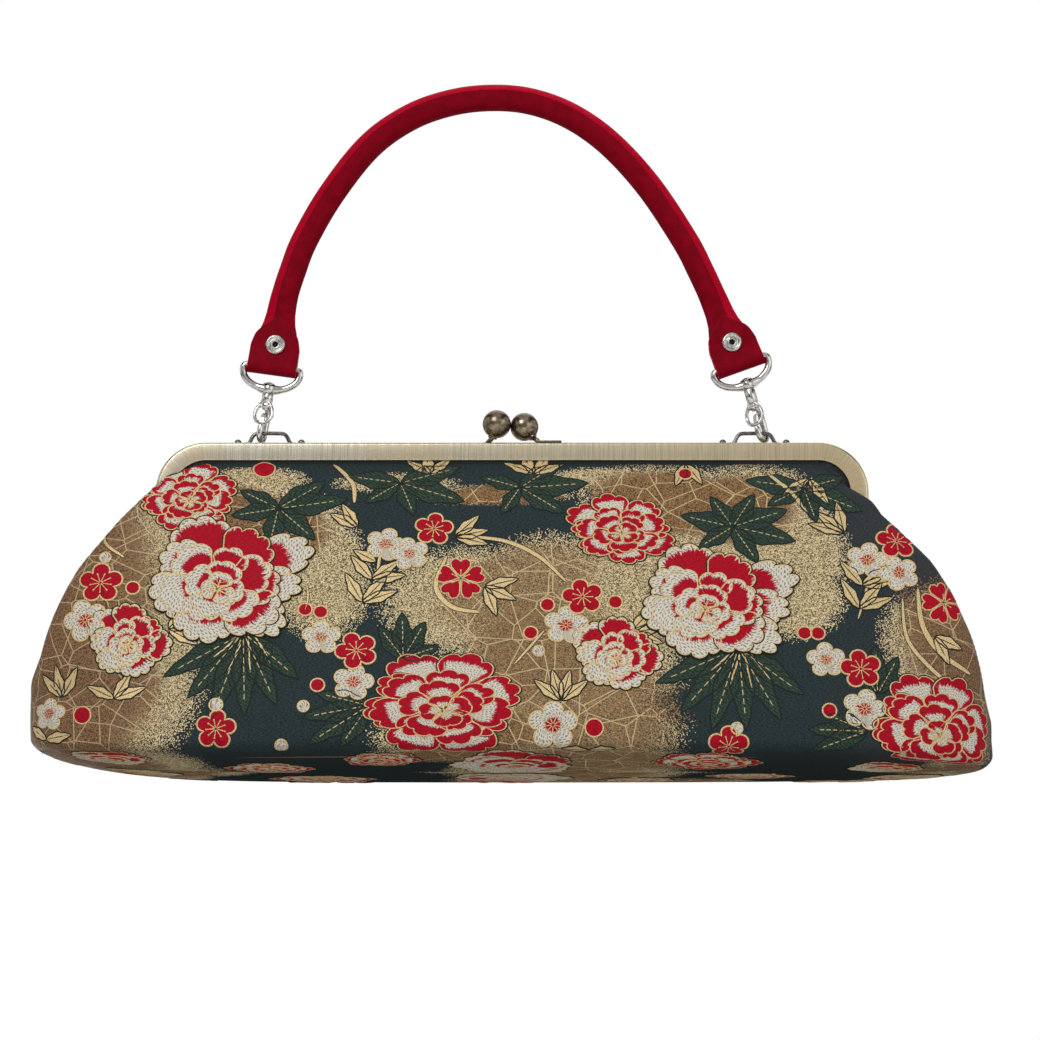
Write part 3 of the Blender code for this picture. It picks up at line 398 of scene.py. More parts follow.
def bands(rows, count, closed=False, flip=False):
    """Four-cornered faces between rows of points, each row with the same count of them."""
    faces = []
    for row in range(rows - 1):
        for spot in range(count if closed else count - 1):
            after = (spot + 1) % count
            low, high = row * count, (row + 1) * count
            second, fourth = low + after, high + spot
            if flip:
                second, fourth = fourth, second
            faces.append((low + spot, second, high + after, fourth))
    return faces


def swept(name, points, count, *materials, flip=False):
    """A closed skin over rings of points, with a flat face at each end."""
    faces = bands(len(points) // count, count, closed=True, flip=flip)
    last = range(len(points) - count, len(points))
    faces += [tuple(range(count)), tuple(reversed(last) if flip else last)]
    return mesh_piece(name, points, faces, *materials)


def modify(obj, kind, **settings):
    """Adds a modifier and applies it."""
    take(obj)
    modifier = obj.modifiers.new(kind.title(), kind)
    for key, value in settings.items():
        setattr(modifier, key, value)
    bpy.ops.object.modifier_apply(modifier=modifier.name)
    return obj


def combined(obj, helper, operation):
    """A piece with another one added to it or cut out of it, which uses the other up."""
    modify(obj, "BOOLEAN", object=helper, operation=operation, solver="EXACT")
    bpy.data.objects.remove(helper, do_unlink=True)
    return obj


def face_outwards(obj, merge=False):
    take(obj)
    bpy.ops.object.mode_set(mode="EDIT")
    bpy.ops.mesh.select_all(action="SELECT")
    if merge:
        bpy.ops.mesh.remove_doubles(threshold=1e-6)
    bpy.ops.mesh.normals_make_consistent(inside=False)
    bpy.ops.object.mode_set(mode="OBJECT")


def settle(obj, name, material=None, angle=40):
    """Names a finished piece, applies its place and smooths it."""
    take(obj)
    obj.name = name
    obj.data.name = name
    bpy.ops.object.transform_apply(location=True, rotation=True, scale=True)
    face_outwards(obj, merge=True)
    if material:
        obj.data.materials.clear()
        obj.data.materials.append(material)
    bpy.ops.object.shade_smooth_by_angle(angle=radians(angle))
    return obj


def joined(*pieces):
    take(pieces[0])
    for piece in pieces[1:]:
        piece.select_set(True)
    bpy.ops.object.join()
    return pieces[0]


def tube(points, radius, closed=False, sides=6, radii=None):
    """A round wire through the points, in millimetres, as a mesh."""
    curve = bpy.data.curves.new("wire", "CURVE")
    curve.dimensions = "3D"
    spline = curve.splines.new("POLY")
    spline.points.add(len(points) - 1)
    for index, point in enumerate(points):
        spline.points[index].co = (*[value * MM for value in point], 1)
        if radii:
            spline.points[index].radius = radii[index]
    spline.use_cyclic_u = closed
    curve.bevel_depth = radius * MM
    curve.bevel_resolution = sides
    curve.use_fill_caps = not closed
    obj = bpy.data.objects.new("wire", curve)
    bpy.context.scene.collection.objects.link(obj)
    take(obj)
    bpy.ops.object.convert(target="MESH")
    return bpy.context.view_layer.objects.active


def turned(profile, steps=40):
    """A profile of (radius, height) turned about Z."""
    points = [(radius, 0, height) for radius, height in profile]
    obj = mesh_piece("turned", points, [])
    shape = bmesh.new()
    shape.from_mesh(obj.data)
    shape.verts.ensure_lookup_table()
    for first, second in zip(shape.verts[:-1], shape.verts[1:]):
        shape.edges.new((first, second))
    shape.to_mesh(obj.data)
    shape.free()
    modify(obj, "SCREW", steps=steps, render_steps=steps, use_merge_vertices=True,
           merge_threshold=1e-5)
    return obj


def rounded_block(corner, opposite, bevel):
    low = Vector([min(pair) for pair in zip(corner, opposite)]) * MM
    high = Vector([max(pair) for pair in zip(corner, opposite)]) * MM
    deselect()
    bpy.ops.mesh.primitive_cube_add(size=1, location=(low + high) / 2)
    obj = bpy.context.view_layer.objects.active
    obj.scale = high - low
    bpy.ops.object.transform_apply(location=True, rotation=True, scale=True)
    return modify(obj, "BEVEL", width=bevel * MM, segments=3)


def disc(radius, height, spot, matrix=None, bevel=0.2):
    deselect()
    bpy.ops.mesh.primitive_cylinder_add(vertices=40, radius=radius * MM, depth=height * MM)
    obj = bpy.context.view_layer.objects.active
    modify(obj, "BEVEL", width=bevel * MM, segments=3, angle_limit=radians(40))
    obj.data.transform(Matrix.Translation(Vector(spot) * MM) @ (matrix or Matrix()))
    return obj


def arc(centre, radius, start, end, steps):
    angles = [start + (end - start) * step / steps for step in range(steps + 1)]
    return [(centre[0] + radius * cos(angle), centre[1] + radius * sin(angle)) for angle in angles]


def end_frame(side):
    """Where one handle end hangs, at the loop wire, with local Z along the leaning axis."""
    lean = radians(8) if side < 0 else radians(16)
    spot = Matrix.Translation(Vector((side * HOOK_X, LOOP_Y, WIRE_Z)) * MM)
    return spot @ Matrix.Rotation(-side * lean, 4, "Y")


def ring_frame(side):
    """Where a D-ring and its tab hang: the right ring rides higher on its post and leans more."""
    if side < 0:
        return end_frame(side)
    return (end_frame(side) @ Matrix.Translation((0, 0, (RING_BOW + RIGHT_RISE) * MM))
            @ Matrix.Rotation(radians(-4), 4, "Y") @ Matrix.Translation((0, 0, -RING_BOW * MM)))


def bezier_through(points, steps):
    """Evenly smoothed points through a few given ones."""
    points = [Vector(point) for point in points]
    made = []
    for index in range(len(points) - 1):
        before = points[max(index - 1, 0)]
        first, second = points[index], points[index + 1]
        after = points[min(index + 2, len(points) - 1)]
        for step in range(steps):
            t = step / steps
            made.append(0.5 * (2 * first + (second - before) * t
                               + (2 * before - 5 * first + 4 * second - after) * t * t
                               + (3 * first - before - 3 * second + after) * t ** 3))
    made.append(points[-1])
    return made


# The bag's cloth


def inner_edge(height, inset):
    """X of the frame's inner edge at a height."""
    radius = FRAME_CORNER - CHANNEL_FACE - inset
    rise = min(max(min(height, MOUTH_TOP) - CORNER_Z, 0), radius)
    return CORNER_X + sqrt(radius * radius - rise * rise)


# How far the cloth stands out past the CAD body on each side: (height, millimetres)
LEFT_EASE = [(0, 4.7), (33, 5.2), (42, 3), (55, 1.8), (75, 1.6), (86, 0)]
RIGHT_EASE = [(0, 4.6), (18, 4.4), (30, 2), (40, 0.5), (55, -1), (78, -1.2), (85, -3), (96, -5.6),
              (106, -3)]


def near_mouth(height, side):
    start = 111 if side < 0 else 100
    return float(smooth((height - start) / (MOUTH_TOP - start)))


def quarter(height, side):
    """One quarter of a level, from the middle of the panel round to the leg or the side seam."""
    rise = max(0, (height - SHOULDER) / (FACE_BOTTOM - SHOULDER))
    closing = near_mouth(height, side)
    lift = min((height - CLOTH / 2) / BASE_ROLL, 1)
    roll = BASE_ROLL * (1 - sqrt(max(0, 1 - (1 - lift) ** 2)))
    ease = LEFT_EASE if side < 0 else RIGHT_EASE
    width = BODY_HALF - NARROWING * rise ** 2 - roll
    width += float(np.interp(height, [level for level, _ in ease], [more for _, more in ease]))
    width = mix(width, inner_edge(height, 1.6) - 3, min(1.6 * closing, 1))
    share = min(max(height - 15, 0) / (MOUTH_TOP - 15), 1)
    depth = 4.5 + (BASE_DEPTH - 4.5) * (1 - share) ** 0.75 - roll
    cheek = float(smooth((height - 28) / (SEAM_TOP - 28)))
    fold = mix(13 * sqrt(cheek), 8.2, max(0, (height - SEAM_TOP) / (FACE_BOTTOM - SEAM_TOP)))
    fold = mix(fold, 4.55, closing ** 2)
    opening = float(smooth((height - SEAM_TOP) / 6))
    end_x = mix(width, inner_edge(height, 1.6), cheek)
    end_y = mix(0, mix(7.4, HEM_Y, closing ** 2), opening)
    power = 2 / mix(2.8, 4.5, min(rise, 1))
    angle = pi / 2 * np.linspace(1, 0, 160) ** 1.6
    run, climb = np.cos(angle) ** power, np.sin(angle) ** power
    run[0] = 0
    turn = pi / 2 * np.linspace(0, 1, 48)[1:]
    x = np.concatenate([width * run, end_x + (width - end_x) * np.cos(turn)])
    y = np.concatenate([fold + (depth - fold) * climb, mix(fold, end_y, np.sin(turn))])
    length = np.concatenate([[0], np.cumsum(np.hypot(np.diff(x), np.diff(y)) + 1e-7)])
    even = np.linspace(0, length[-1], COLUMNS + 1)
    return np.interp(even, length, x), np.interp(even, length, y), length[-1]


class Cloth:
    """One side of the bag as a grid, from the base's middle line up into the frame's channel.

    A place on it is (across, up), in millimetres along the cloth from its middle and from the
    edge of the base.
    """

    def __init__(self, front):
        self.front = front
        rows, spans, heights = [], [], []
        base = [quarter(CLOTH / 2, side) for side in (-1, 1)]
        for share in np.linspace(0, 1, 19)[:-1]:
            rows.append(self.row(base, CLOTH / 2, share))
            spans.append([base[0][2], base[1][2]])
            heights.append(-(BASE_DEPTH - BASE_ROLL) * (1 - share))
        roll = [CLOTH / 2 + BASE_ROLL * (1 - cos(angle)) for angle in np.linspace(0, pi / 2, 9)]
        panel = list(np.linspace(CLOTH / 2 + BASE_ROLL, 100, 50))[1:]
        neck = list(np.linspace(100, MOUTH_TOP, 16))[1:]
        up = 0
        self.body_rows = len(rows)
        for height in roll + panel + neck:
            pair = [quarter(height, side) for side in (-1, 1)]
            row = self.row(pair, height, 1)
            if len(rows) > self.body_rows:
                up += float(np.linalg.norm(row[COLUMNS] - rows[-1][COLUMNS]))
            rows.append(row)
            spans.append([pair[0][2], pair[1][2]])
            heights.append(up)
        self.levels = [CLOTH / 2] * self.body_rows + roll + panel + neck
        for share in (0.25, 0.5, 0.75, 1):
            rows.append(self.tucked(rows[len(self.levels) - 1], share))
            spans.append(spans[-1])
            heights.append(up + HEM_TUCK * share)
        self.points = np.array(rows)
        self.spans = np.array(spans)
        self.up = np.array(heights)
        self.normals = self.grid_normals()
        self.points[:len(self.levels)] += self.crumple()[:len(self.levels)]
        self.normals = self.grid_normals()

    def row(self, pair, height, share):
        (left_x, left_y, _), (right_x, right_y, _) = pair
        x = np.concatenate([-left_x[::-1], right_x[1:]])
        y = np.concatenate([left_y[::-1], right_y[1:]]) * share * self.front
        reach = np.abs(x) / (BODY_HALF + 4)
        lift = np.where(x < 0, 8.5 * reach ** 7, 1.6 * reach ** 14) * max(0, 1 - height / 30)
        if self.front < 0:
            lift += FRONT_EDGE_RISE * share ** 2 * max(0, 1 - height / 60) * (1 - reach ** 6)
        return np.stack([x, y, height + lift], 1)

    def tucked(self, row, share):
        """A row of cloth that has gone up into the channel."""
        made = row.copy()
        for point in made:
            self.tuck(point, share)
        return made

    def tuck(self, point, share):
        corner = Vector((min(abs(point[0]), CORNER_X), min(point[2], CORNER_Z)))
        away = (Vector((abs(point[0]), point[2])) - corner).normalized()
        point[0] += (1 if point[0] > 0 else -1) * away.x * HEM_TUCK * share
        point[2] += away.y * HEM_TUCK * share
        point[1] = mix(point[1], self.front * HEM_Y, share ** 0.5)

    def grid_normals(self):
        across = np.gradient(self.points, axis=1)
        upward = np.gradient(self.points, axis=0)
        made = np.cross(across, upward) * -self.front
        return made / np.maximum(np.linalg.norm(made, axis=2, keepdims=True), 1e-9)

    def crumple(self):
        """Soft dents, which fade out at the base and under the frame."""
        depth = np.zeros(self.points.shape[:2])
        for (r, c), _ in np.ndenumerate(depth):
            x, y, z = self.points[r, c]
            calm = float(smooth((z - 4) / 14) * smooth((114 - z) / 10))
            slow = noise.noise(Vector((x / 42, y / 30, z / 30 + 5 * self.front)))
            folds = noise.noise(Vector((x / 15 + z / 40, 7, z / 60 + 3 * self.front)))
            depth[r, c] = calm * (0.9 * slow + 0.35 * folds)
        return self.normals * depth[:, :, None]

    def at(self, spots, lifts):
        """Points over the cloth at the given places, and whether each place is really on it."""
        spots = np.asarray(spots, float)
        across = spots[:, 0] * -self.front
        up = np.clip(spots[:, 1], self.up[0] + 0.01, self.up[-1] - 0.01)
        place = np.interp(up, self.up, np.arange(len(self.up)))
        low = np.clip(place.astype(int), 0, len(self.up) - 2)
        share = (place - low)[:, None]
        sides = (across > 0).astype(int)
        made, on = [], np.abs(up - spots[:, 1]) < 0.02
        for row in (low, low + 1):
            column = across / self.spans[row, sides] * COLUMNS
            on &= np.abs(column) < COLUMNS * 0.999
            column = np.clip(column, -COLUMNS * 0.999, COLUMNS * 0.999) + COLUMNS
            left = np.clip(column.astype(int), 0, 2 * COLUMNS - 1)
            part = (column - left)[:, None]
            made.append([mix(grid[row, left], grid[row, left + 1], part)
                         for grid in (self.points, self.normals)])
        spot = mix(made[0][0], made[1][0], share)
        normal = mix(made[0][1], made[1][1], share)
        normal /= np.maximum(np.linalg.norm(normal, axis=1, keepdims=True), 1e-9)
        return spot + normal * (CLOTH / 2 + np.asarray(lifts, float)[:, None]), on

    def find(self, x, z):
        """The place on the cloth that is seen from the front at this X and height."""
        x *= -self.front
        middle = self.points[:len(self.levels), COLUMNS, 2]
        row = float(np.interp(z, middle[self.body_rows:],
                              np.arange(self.body_rows, len(self.levels))))
        low = min(int(row), len(self.levels) - 2)
        line = mix(self.points[low], self.points[low + 1], row - low)[:, 0]
        half = line[COLUMNS:] if x > 0 else -line[:COLUMNS + 1][::-1]
        widest = int(np.argmax(half))
        column = float(np.interp(abs(x), half[:widest + 1], np.arange(widest + 1)))
        span = float(self.spans[low, int(x > 0)])
        across = column / COLUMNS * span * (1 if x > 0 else -1)
        return -self.front * across, float(np.interp(row, np.arange(len(self.up)), self.up))


def ellipse_cloud(spots, clouds):
    """How strongly each place lies in soft ellipses: x, z, half width, half height, and
    where they aren't 0 and 1, the lean in degrees and the strength."""
    total = np.zeros(len(spots))
    for x, z, wide, tall, *more in clouds:
        lean, strength = more or (0, 1)
        turn = radians(lean)
        across, up = spots[:, 0] - x, spots[:, 1] - z
        along = (across * cos(turn) + up * sin(turn)) / wide
        over = (up * cos(turn) - across * sin(turn)) / tall
        inside_it = smooth(1.75 - 1.25 * np.sqrt(along ** 2 + over ** 2))
        total = np.maximum(total, strength * inside_it)
    return total


REPEAT = 190  # half of the pattern's repeat across the cloth
GOLD_CLOUDS = [
    (-97, 113, 17, 6), (-104, 94, 24, 20), (-84, 92, 20, 14),
    (-72, 72, 17, 24, 10, 1), (-92, 74, 20, 18), (-152, 62, 42, 46),
    (-144, 26, 26, 26, 25, 1), (-170, 16, 26, 30), (-132, 84, 26, 24),
    (-14, 60, 30, 20), (8, 64, 30, 20, 20, 1), (8, 40, 28, 28),
    (-6, 106, 24, 4), (-44, 112, 20, 4), (28, 34, 30, 26),
    (24, 10, 34, 18), (36, 62, 28, 22), (-14, 6, 32, 10),
    (52, 60, 26, 22), (62, 103, 32, 15, -8, 1), (90, 96, 26, 22),
    (104, 86, 18, 26, 20, 1), (104, 62, 17, 15), (80, 74, 30, 20),
    (160, 44, 20, 22, 30, 1), (172, 30, 16, 36), (176, 60, 14, 20),
    (36, 114, 20, 5)]
BROWN_CLOUDS = [
    (-108, 98, 22, 12), (-88, 90, 18, 12), (-164, 52, 30, 70, 0, 0.8),
    (-150, 28, 20, 20, 25, 0.7), (2, 66, 32, 18, 20, 0.45), (10, 40, 26, 26, 0, 0.55),
    (30, 16, 34, 22, 0, 0.5), (62, 103, 30, 13, -8, 1), (84, 100, 20, 14),
    (-6, 105, 22, 5), (168, 42, 20, 40, 20, 0.7), (-16, 8, 26, 10, 0, 0.8)]


def pattern_place(cloth, spots):
    """Where places on the cloth are in the pattern, which is mirrored under the base."""
    pattern = np.stack([spots[:, 0], np.abs(spots[:, 1])], 1)
    if cloth.front > 0:
        pattern[:, 0] = (pattern[:, 0] + 40 + REPEAT) % (2 * REPEAT) - REPEAT
    return pattern


def cloth_mesh(name, cloth, inset, material, thickness):
    """The cloth's grid as a sheet, with its edges tucked into the channel at the legs."""
    grid = cloth.points - cloth.normals * inset
    high, wide = grid.shape[:2]
    points = [tuple(point) for row in grid for point in row]
    faces = bands(high, wide)
    places = [(c, r) for r in range(high) for c in range(wide)]
    tall = [r for r in range(len(cloth.levels)) if cloth.levels[r] > LEG_END]
    for column in (0, wide - 1):
        edge = [r * wide + column for r in tall]
        for share in (0, 0.5, 1):
            start = len(points)
            for r in tall:
                point = grid[r, column].copy()
                if share:
                    cloth.tuck(point, share)
                else:
                    point[1] = cloth.front * HEM_Y
                points.append(tuple(point))
                places.append((column, r))
            new = list(range(start, len(points)))
            for low in range(len(tall) - 1):
                face = (edge[low], new[low], new[low + 1], edge[low + 1])
                faces.append(face if column else face[::-1])
            edge = new
    outwards = cloth.front < 0
    if (inset > 0) == outwards:
        faces = [face[::-1] for face in faces]
    obj = mesh_piece(name, points, faces, material)
    places = np.array(places)
    columns = (places[:, 0] - COLUMNS) / COLUMNS
    spans = cloth.spans[places[:, 1], (columns > 0).astype(int)]
    spots = np.stack([columns * spans * -cloth.front, cloth.up[places[:, 1]]], 1)
    dress(obj, spots)
    if inset == 0:
        pattern = pattern_place(cloth, spots)
        note(obj, "Gold", ellipse_cloud(pattern, GOLD_CLOUDS))
        note(obj, "Brown", ellipse_cloud(pattern, BROWN_CLOUDS))
        across = np.abs(np.array(points)[:, 0]) / BODY_HALF
        # How far each point has turned round towards the sides, for the painted shade there.
        note(obj, "PaintedTurnShade", smooth((np.abs(columns) - 0.52) / 0.25) * smooth(across * 2 - 0.9))
    modify(obj, "SOLIDIFY", thickness=thickness * MM, offset=0)
    if inset == 0:
        note(obj, "Inside", np.arange(len(obj.data.vertices)) >= len(points))
    take(obj)
    bpy.ops.object.shade_smooth()
    return obj


def dress(obj, spots, name="Cloth"):
    """Writes flat coordinates of each point, in millimetres, to a UV map of the piece."""
    layer = obj.data.uv_layers.new(name=name)
    corners = np.zeros(len(obj.data.loops), int)
    obj.data.loops.foreach_get("vertex_index", corners)
    layer.data.foreach_set("uv", np.asarray(spots)[corners].ravel())


def follow(obj, front):
    """The front cloth opens with the front half of the frame, and the back stays."""
    if front < 0:
        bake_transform(obj)
    else:
        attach(obj, "bag")


FRONT, BACK = Cloth(-1), Cloth(1)
for side_cloth, word in ((FRONT, "front"), (BACK, "back")):
    panel_piece = cloth_mesh(word + "_brocade", side_cloth, 0, GROUND, CLOTH)
    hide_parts("brocade_body")
    follow(panel_piece, side_cloth.front)
    inside = cloth_mesh(word + "_lining", side_cloth, LINING_INSET, LINING_CLOTH, LINING)
    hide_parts("lining")
    follow(inside, side_cloth.front)


# Woven figures on the cloth


class Figures:
    """Petals, leaves and gold threads of one side of the cloth, gathered into one mesh."""

    KINDS = (PETAL, GREEN, GOLD, DARK)

    def __init__(self, cloth, move=None):
        self.cloth, self.move = cloth, move
        self.spots, self.lifts, self.blush, self.faces, self.kinds = [], [], [], [], []
        self.fans = []

    def where(self, x, z):
        """The cloth place for a spot given as it is seen from the front."""
        across, up = FRONT.find(x, z)
        return self.move(across, up) if self.move else (across, up)

    def add(self, spots, lifts, faces, kind, blush=0.0, fan=(0, 0)):
        start = len(self.spots)
        self.spots.extend(tuple(spot) for spot in spots)
        self.lifts.extend(np.broadcast_to(lifts, len(spots)))
        self.blush.extend(np.broadcast_to(blush, len(spots)))
        self.fans.extend(np.broadcast_to(fan, (len(spots), 2)))
        self.faces.extend(tuple(index + start for index in face) for face in faces)
        self.kinds.extend([self.KINDS.index(kind)] * len(faces))

    def patch(self, outline, place, lift, kind, blush=None):
        """An outline filled with small triangles, so that it follows the cloth."""
        laid = place(outline)
        near_base = laid[:, 1].min() < 8
        step = 1.3 if near_base else 2.6
        low, high = outline.min(0), outline.max(0)
        grid = [(low[0] + (column + 0.5 * (row % 2)) * step, low[1] + row * step * 0.87)
                for row in range(int((high[1] - low[1]) / step / 0.87) + 1)
                for column in range(int((high[0] - low[0]) / step) + 1)]
        inner = [spot for spot in grid if inside(spot, outline, 0.25 * step)]
        made = delaunay_2d_cdt([Vector(spot) for spot in [*outline, *inner]], [],
                               [list(range(len(outline)))], 1, 1e-4)
        spots = np.array([tuple(spot) for spot in made[0]])
        shades, fan = 0.0, (0, 0)
        if blush:
            reach = np.hypot(spots[:, 0], spots[:, 1])
            shades = blush(spots)
            angle = np.arctan2(spots[:, 0], spots[:, 1])
            fan = np.stack([angle * reach.max() + 9 * lift, reach], 1)
        self.add(place(spots), lift, made[2], kind, shades, fan)

    def edge(self, outline, place, lift, inner=0.42, outer=0.22, kind=GOLD):
        """A raised thread round an outline, with its outer side sunk into the cloth."""
        ahead, behind = np.roll(outline, -1, 0), np.roll(outline, 1, 0)
        way = ahead - behind
        way /= np.maximum(np.linalg.norm(way, axis=1, keepdims=True), 1e-6)
        out = np.stack([way[:, 1], -way[:, 0]], 1)
        rows = [(outline - out * inner, lift + 0.02), (outline - out * inner * 0.3, lift + 0.09),
                (outline + out * outer, lift + 0.05), (outline + out * outer * 1.2, -0.05)]
        spots = np.concatenate([place(row) for row, _ in rows])
        lifts = np.concatenate([np.full(len(outline), height) for _, height in rows])
        self.add(spots, lifts, bands(4, len(outline), closed=True, flip=True), kind)

    def thread(self, points, widths, lift, kind=GOLD):
        """A flat thread or stem along points given on the cloth."""
        line = np.array([tuple(point) for point in points])
        way = np.gradient(line, axis=0)
        way /= np.maximum(np.linalg.norm(way, axis=1, keepdims=True), 1e-6)
        side = np.stack([-way[:, 1], way[:, 0]], 1) * np.asarray(widths).reshape(-1, 1) / 2
        spots = np.concatenate([line + side, line, line - side])
        lifts = np.repeat([lift, lift + 0.06, lift], len(line))
        self.add(spots, lifts, bands(3, len(line), flip=True), kind)

    def build(self, name):
        points, on = self.cloth.at(self.spots, self.lifts)
        faces, kinds = [], []
        for face, kind in zip(self.faces, self.kinds):
            if on[list(face)].any():
                faces.append(face)
                kinds.append(kind)
        obj = mesh_piece(name, points, faces, *self.KINDS)
        obj.data.polygons.foreach_set("material_index", kinds)
        dress(obj, self.spots)
        dress(obj, self.fans, "Petal")
        note(obj, "Blush", self.blush)
        shape = bmesh.new()
        shape.from_mesh(obj.data)
        loose = [vert for vert in shape.verts if not vert.link_faces]
        bmesh.ops.delete(shape, geom=loose, context="VERTS")
        shape.to_mesh(obj.data)
        shape.free()
        take(obj)
        bpy.ops.object.shade_smooth()
        follow(obj, self.cloth.front)


def inside(spot, outline, margin):
    """Whether a spot is inside an outline and clear of its edge."""
    x, y = spot
    ahead = np.roll(outline, -1, 0)
    run = ahead - outline
    crosses = (outline[:, 1] > y) != (ahead[:, 1] > y)
    rise = np.where(np.abs(run[:, 1]) < 1e-9, 1e-9, run[:, 1])
    cut = outline[:, 0] + (y - outline[:, 1]) / rise * run[:, 0]
    if np.count_nonzero(crosses & (x < cut)) % 2 == 0:
        return False
    share = ((x - outline[:, 0]) * run[:, 0] + (y - outline[:, 1]) * run[:, 1])
    share = np.clip(share / np.maximum((run ** 2).sum(1), 1e-9), 0, 1)[:, None]
    nearest = outline + run * share
    return float(np.hypot(nearest[:, 0] - x, nearest[:, 1] - y).min()) > margin


def placed(centre, turn=0.0, tall=1.0):
    """Moves a figure's own outline onto the cloth: turned, stretched, then shifted."""
    whole = np.diag([1, tall]) @ np.array([[cos(turn), -sin(turn)], [sin(turn), cos(turn)]])
    shift = np.array(centre)
    return lambda spots: np.asarray(spots) @ whole.T + shift


def petal_outline(length, spread, lobes, change):
    """A fan-shaped petal with a scalloped edge, pointing up from the flower's middle."""
    turn = np.linspace(spread, -spread, 8 * lobes + 1)
    place = turn / spread
    scallop = np.abs(np.sin(pi * lobes * (place + 1) / 2)) ** 0.55
    reach = length * (0.91 - 0.16 * np.abs(place) ** 2.5 + 0.09 * scallop)
    reach *= 1 + change * np.sin(3 * place + 40 * change)
    fan = np.stack([reach * np.sin(-turn), reach * np.cos(turn)], 1)[::-1]
    root = np.array((0, 0.12 * length))
    left = [mix(root, fan[-1], share) for share in (0.85, 0.6, 0.35)]
    right = [mix(root, fan[0], share) for share in (0.35, 0.6, 0.85)]
    return np.concatenate([fan, left, [root], right])


def petal_shade(kind, bare, length, spread):
    """How white a petal is at each spot: a red one has a fan of white streaks in its middle, and a
    white one is red at its root, where the red is narrower than the petal."""
    def shade(spots):
        reach = np.hypot(spots[:, 0], spots[:, 1]) / length - bare
        aside = np.abs(np.arctan2(spots[:, 0], spots[:, 1])) / spread
        if kind == "white":
            return smooth((reach - 0.02) / 0.22 + 0.8 * smooth((aside - 0.5) / 0.5))
        return 0.9 * smooth((0.12 - reach) / 0.12) * smooth((0.95 - aside) / 0.4)
    return shade


# Rings of petals from the outside in: how many, size, half angle, scallops, share that is bare
WHITE_RINGS = [(7, 1.0, 0.55, 4, 0.70), (6, 0.72, 0.60, 3, 0.62), (4, 0.46, 0.85, 3, 0.55),
               (3, 0.25, 1.0, 2, 0.40)]
RED_RINGS = [(8, 1.0, 0.44, 3, 0.76), (7, 0.78, 0.50, 3, 0.72), (5, 0.54, 0.64, 3, 0.62),
             (4, 0.32, 0.8, 2, 0.50)]
PETAL_LIFT, LEVEL_STEP = 0.16, 0.5  # above the cloth, and from one level of flowers to the next
PETAL_CHANGES = [0.10, -0.08, 0.05, -0.12, 0.02, 0.12, -0.04]


def peony(figures, x, z, radius, kind, tall, turn, level=0, tails=()):
    """Rings of scalloped petals, each laid over the last, round a gold middle set low.

    Under the base, x and z are a place along the cloth.
    """
    middle = np.array(figures.where(x, z) if z > 0 else (x, z))
    lift = PETAL_LIFT + LEVEL_STEP * level
    petals = [(middle, tail_turn, length, 0.34, 4, 0.66, 0.05, 0) for tail_turn, length in tails]
    rings = WHITE_RINGS if kind == "white" else RED_RINGS
    for ring, (count, size, spread, lobes, bare) in enumerate(rings):
        shift = np.array((0.05, -0.22 * tall)) * radius * (1 - size)
        for index in range(count):
            change = PETAL_CHANGES[(index * 3 + ring * 2) % len(PETAL_CHANGES)]
            angle = turn + 2 * pi * index / count + 0.5 * ring + change
            red = bare + (0.15 * cos(angle + 0.8) if kind == "white" else 0)
            petals.append((middle + shift, angle, radius * size * (1 + change), spread,
                           lobes, red, 0.3 * change, ring))
    for centre, angle, length, spread, lobes, bare, change, ring in petals:
        outline = petal_outline(length, spread, lobes, change)
        place = placed(centre, angle, tall)
        if ring == 0:
            figures.edge(outline, place, lift - 0.06, -0.1, 0.6, DARK)
        figures.patch(outline, place, lift, PETAL, petal_shade(kind, bare, length, spread))
        figures.edge(outline, place, lift, 0.34, 0.16)
        lift += 0.022
    heart = middle + np.array((0.03, -0.18 * tall)) * radius
    stamens(figures, placed(heart, turn, tall), radius * 0.17, 7, lift + 0.02)


def stamens(figures, place, radius, count, lift, width=0.45):
    for index in range(count):
        angle = 2 * pi * index / count + 0.2
        way = np.array([cos(angle), sin(angle)])
        line = place(np.array([way * radius * share for share in (0.12, 0.5, 0.85, 1.0)]))
        figures.thread(line, [width, width, width, width * 2.2], lift)


def blossom(figures, x, z, radius, white, turn, level=0):
    """A plum blossom: five round petals in one outline, with gold stamens."""
    place = placed(figures.where(x, z), turn, 0.95)
    angle = np.linspace(0, 2 * pi, 71)[:-1]
    reach = radius * (0.62 + 0.38 * np.abs(np.cos(2.5 * angle)) ** 0.62)
    outline = np.stack([reach * np.cos(angle), reach * np.sin(angle)], 1)
    lift = PETAL_LIFT + LEVEL_STEP * level + 0.01

    def shade(spots):
        span = np.hypot(spots[:, 0], spots[:, 1]) / radius
        return smooth((span - 0.12) / 0.4) if white else np.zeros(len(spots))

    figures.patch(outline, place, lift, PETAL, shade)
    figures.edge(outline, place, lift)
    stamens(figures, place, radius * 0.5, 9, lift + 0.03, 0.3)


def cherry(figures, x, z, radius, turn=0.0):
    """Five separate red petals with notched tips."""
    centre = figures.where(x, z)
    side = [(0.0, 0.10), (0.20, 0.3), (0.40, 0.6), (0.42, 0.84), (0.27, 1.0), (0.10, 0.97)]
    outline = [(-run, up) for run, up in side] + [(0.0, 0.86)]
    outline += [(run, up) for run, up in reversed(side[1:])]
    outline = np.array(outline)[::-1] * radius
    for index in range(5):
        place = placed(centre, turn + 2 * pi * index / 5, 0.95)
        figures.patch(outline, place, 0.17, PETAL)
        figures.edge(outline, place, 0.17, 0.3, 0.15)
    stamens(figures, placed(centre, 0.3), radius * 0.42, 6, 0.24, 0.3)


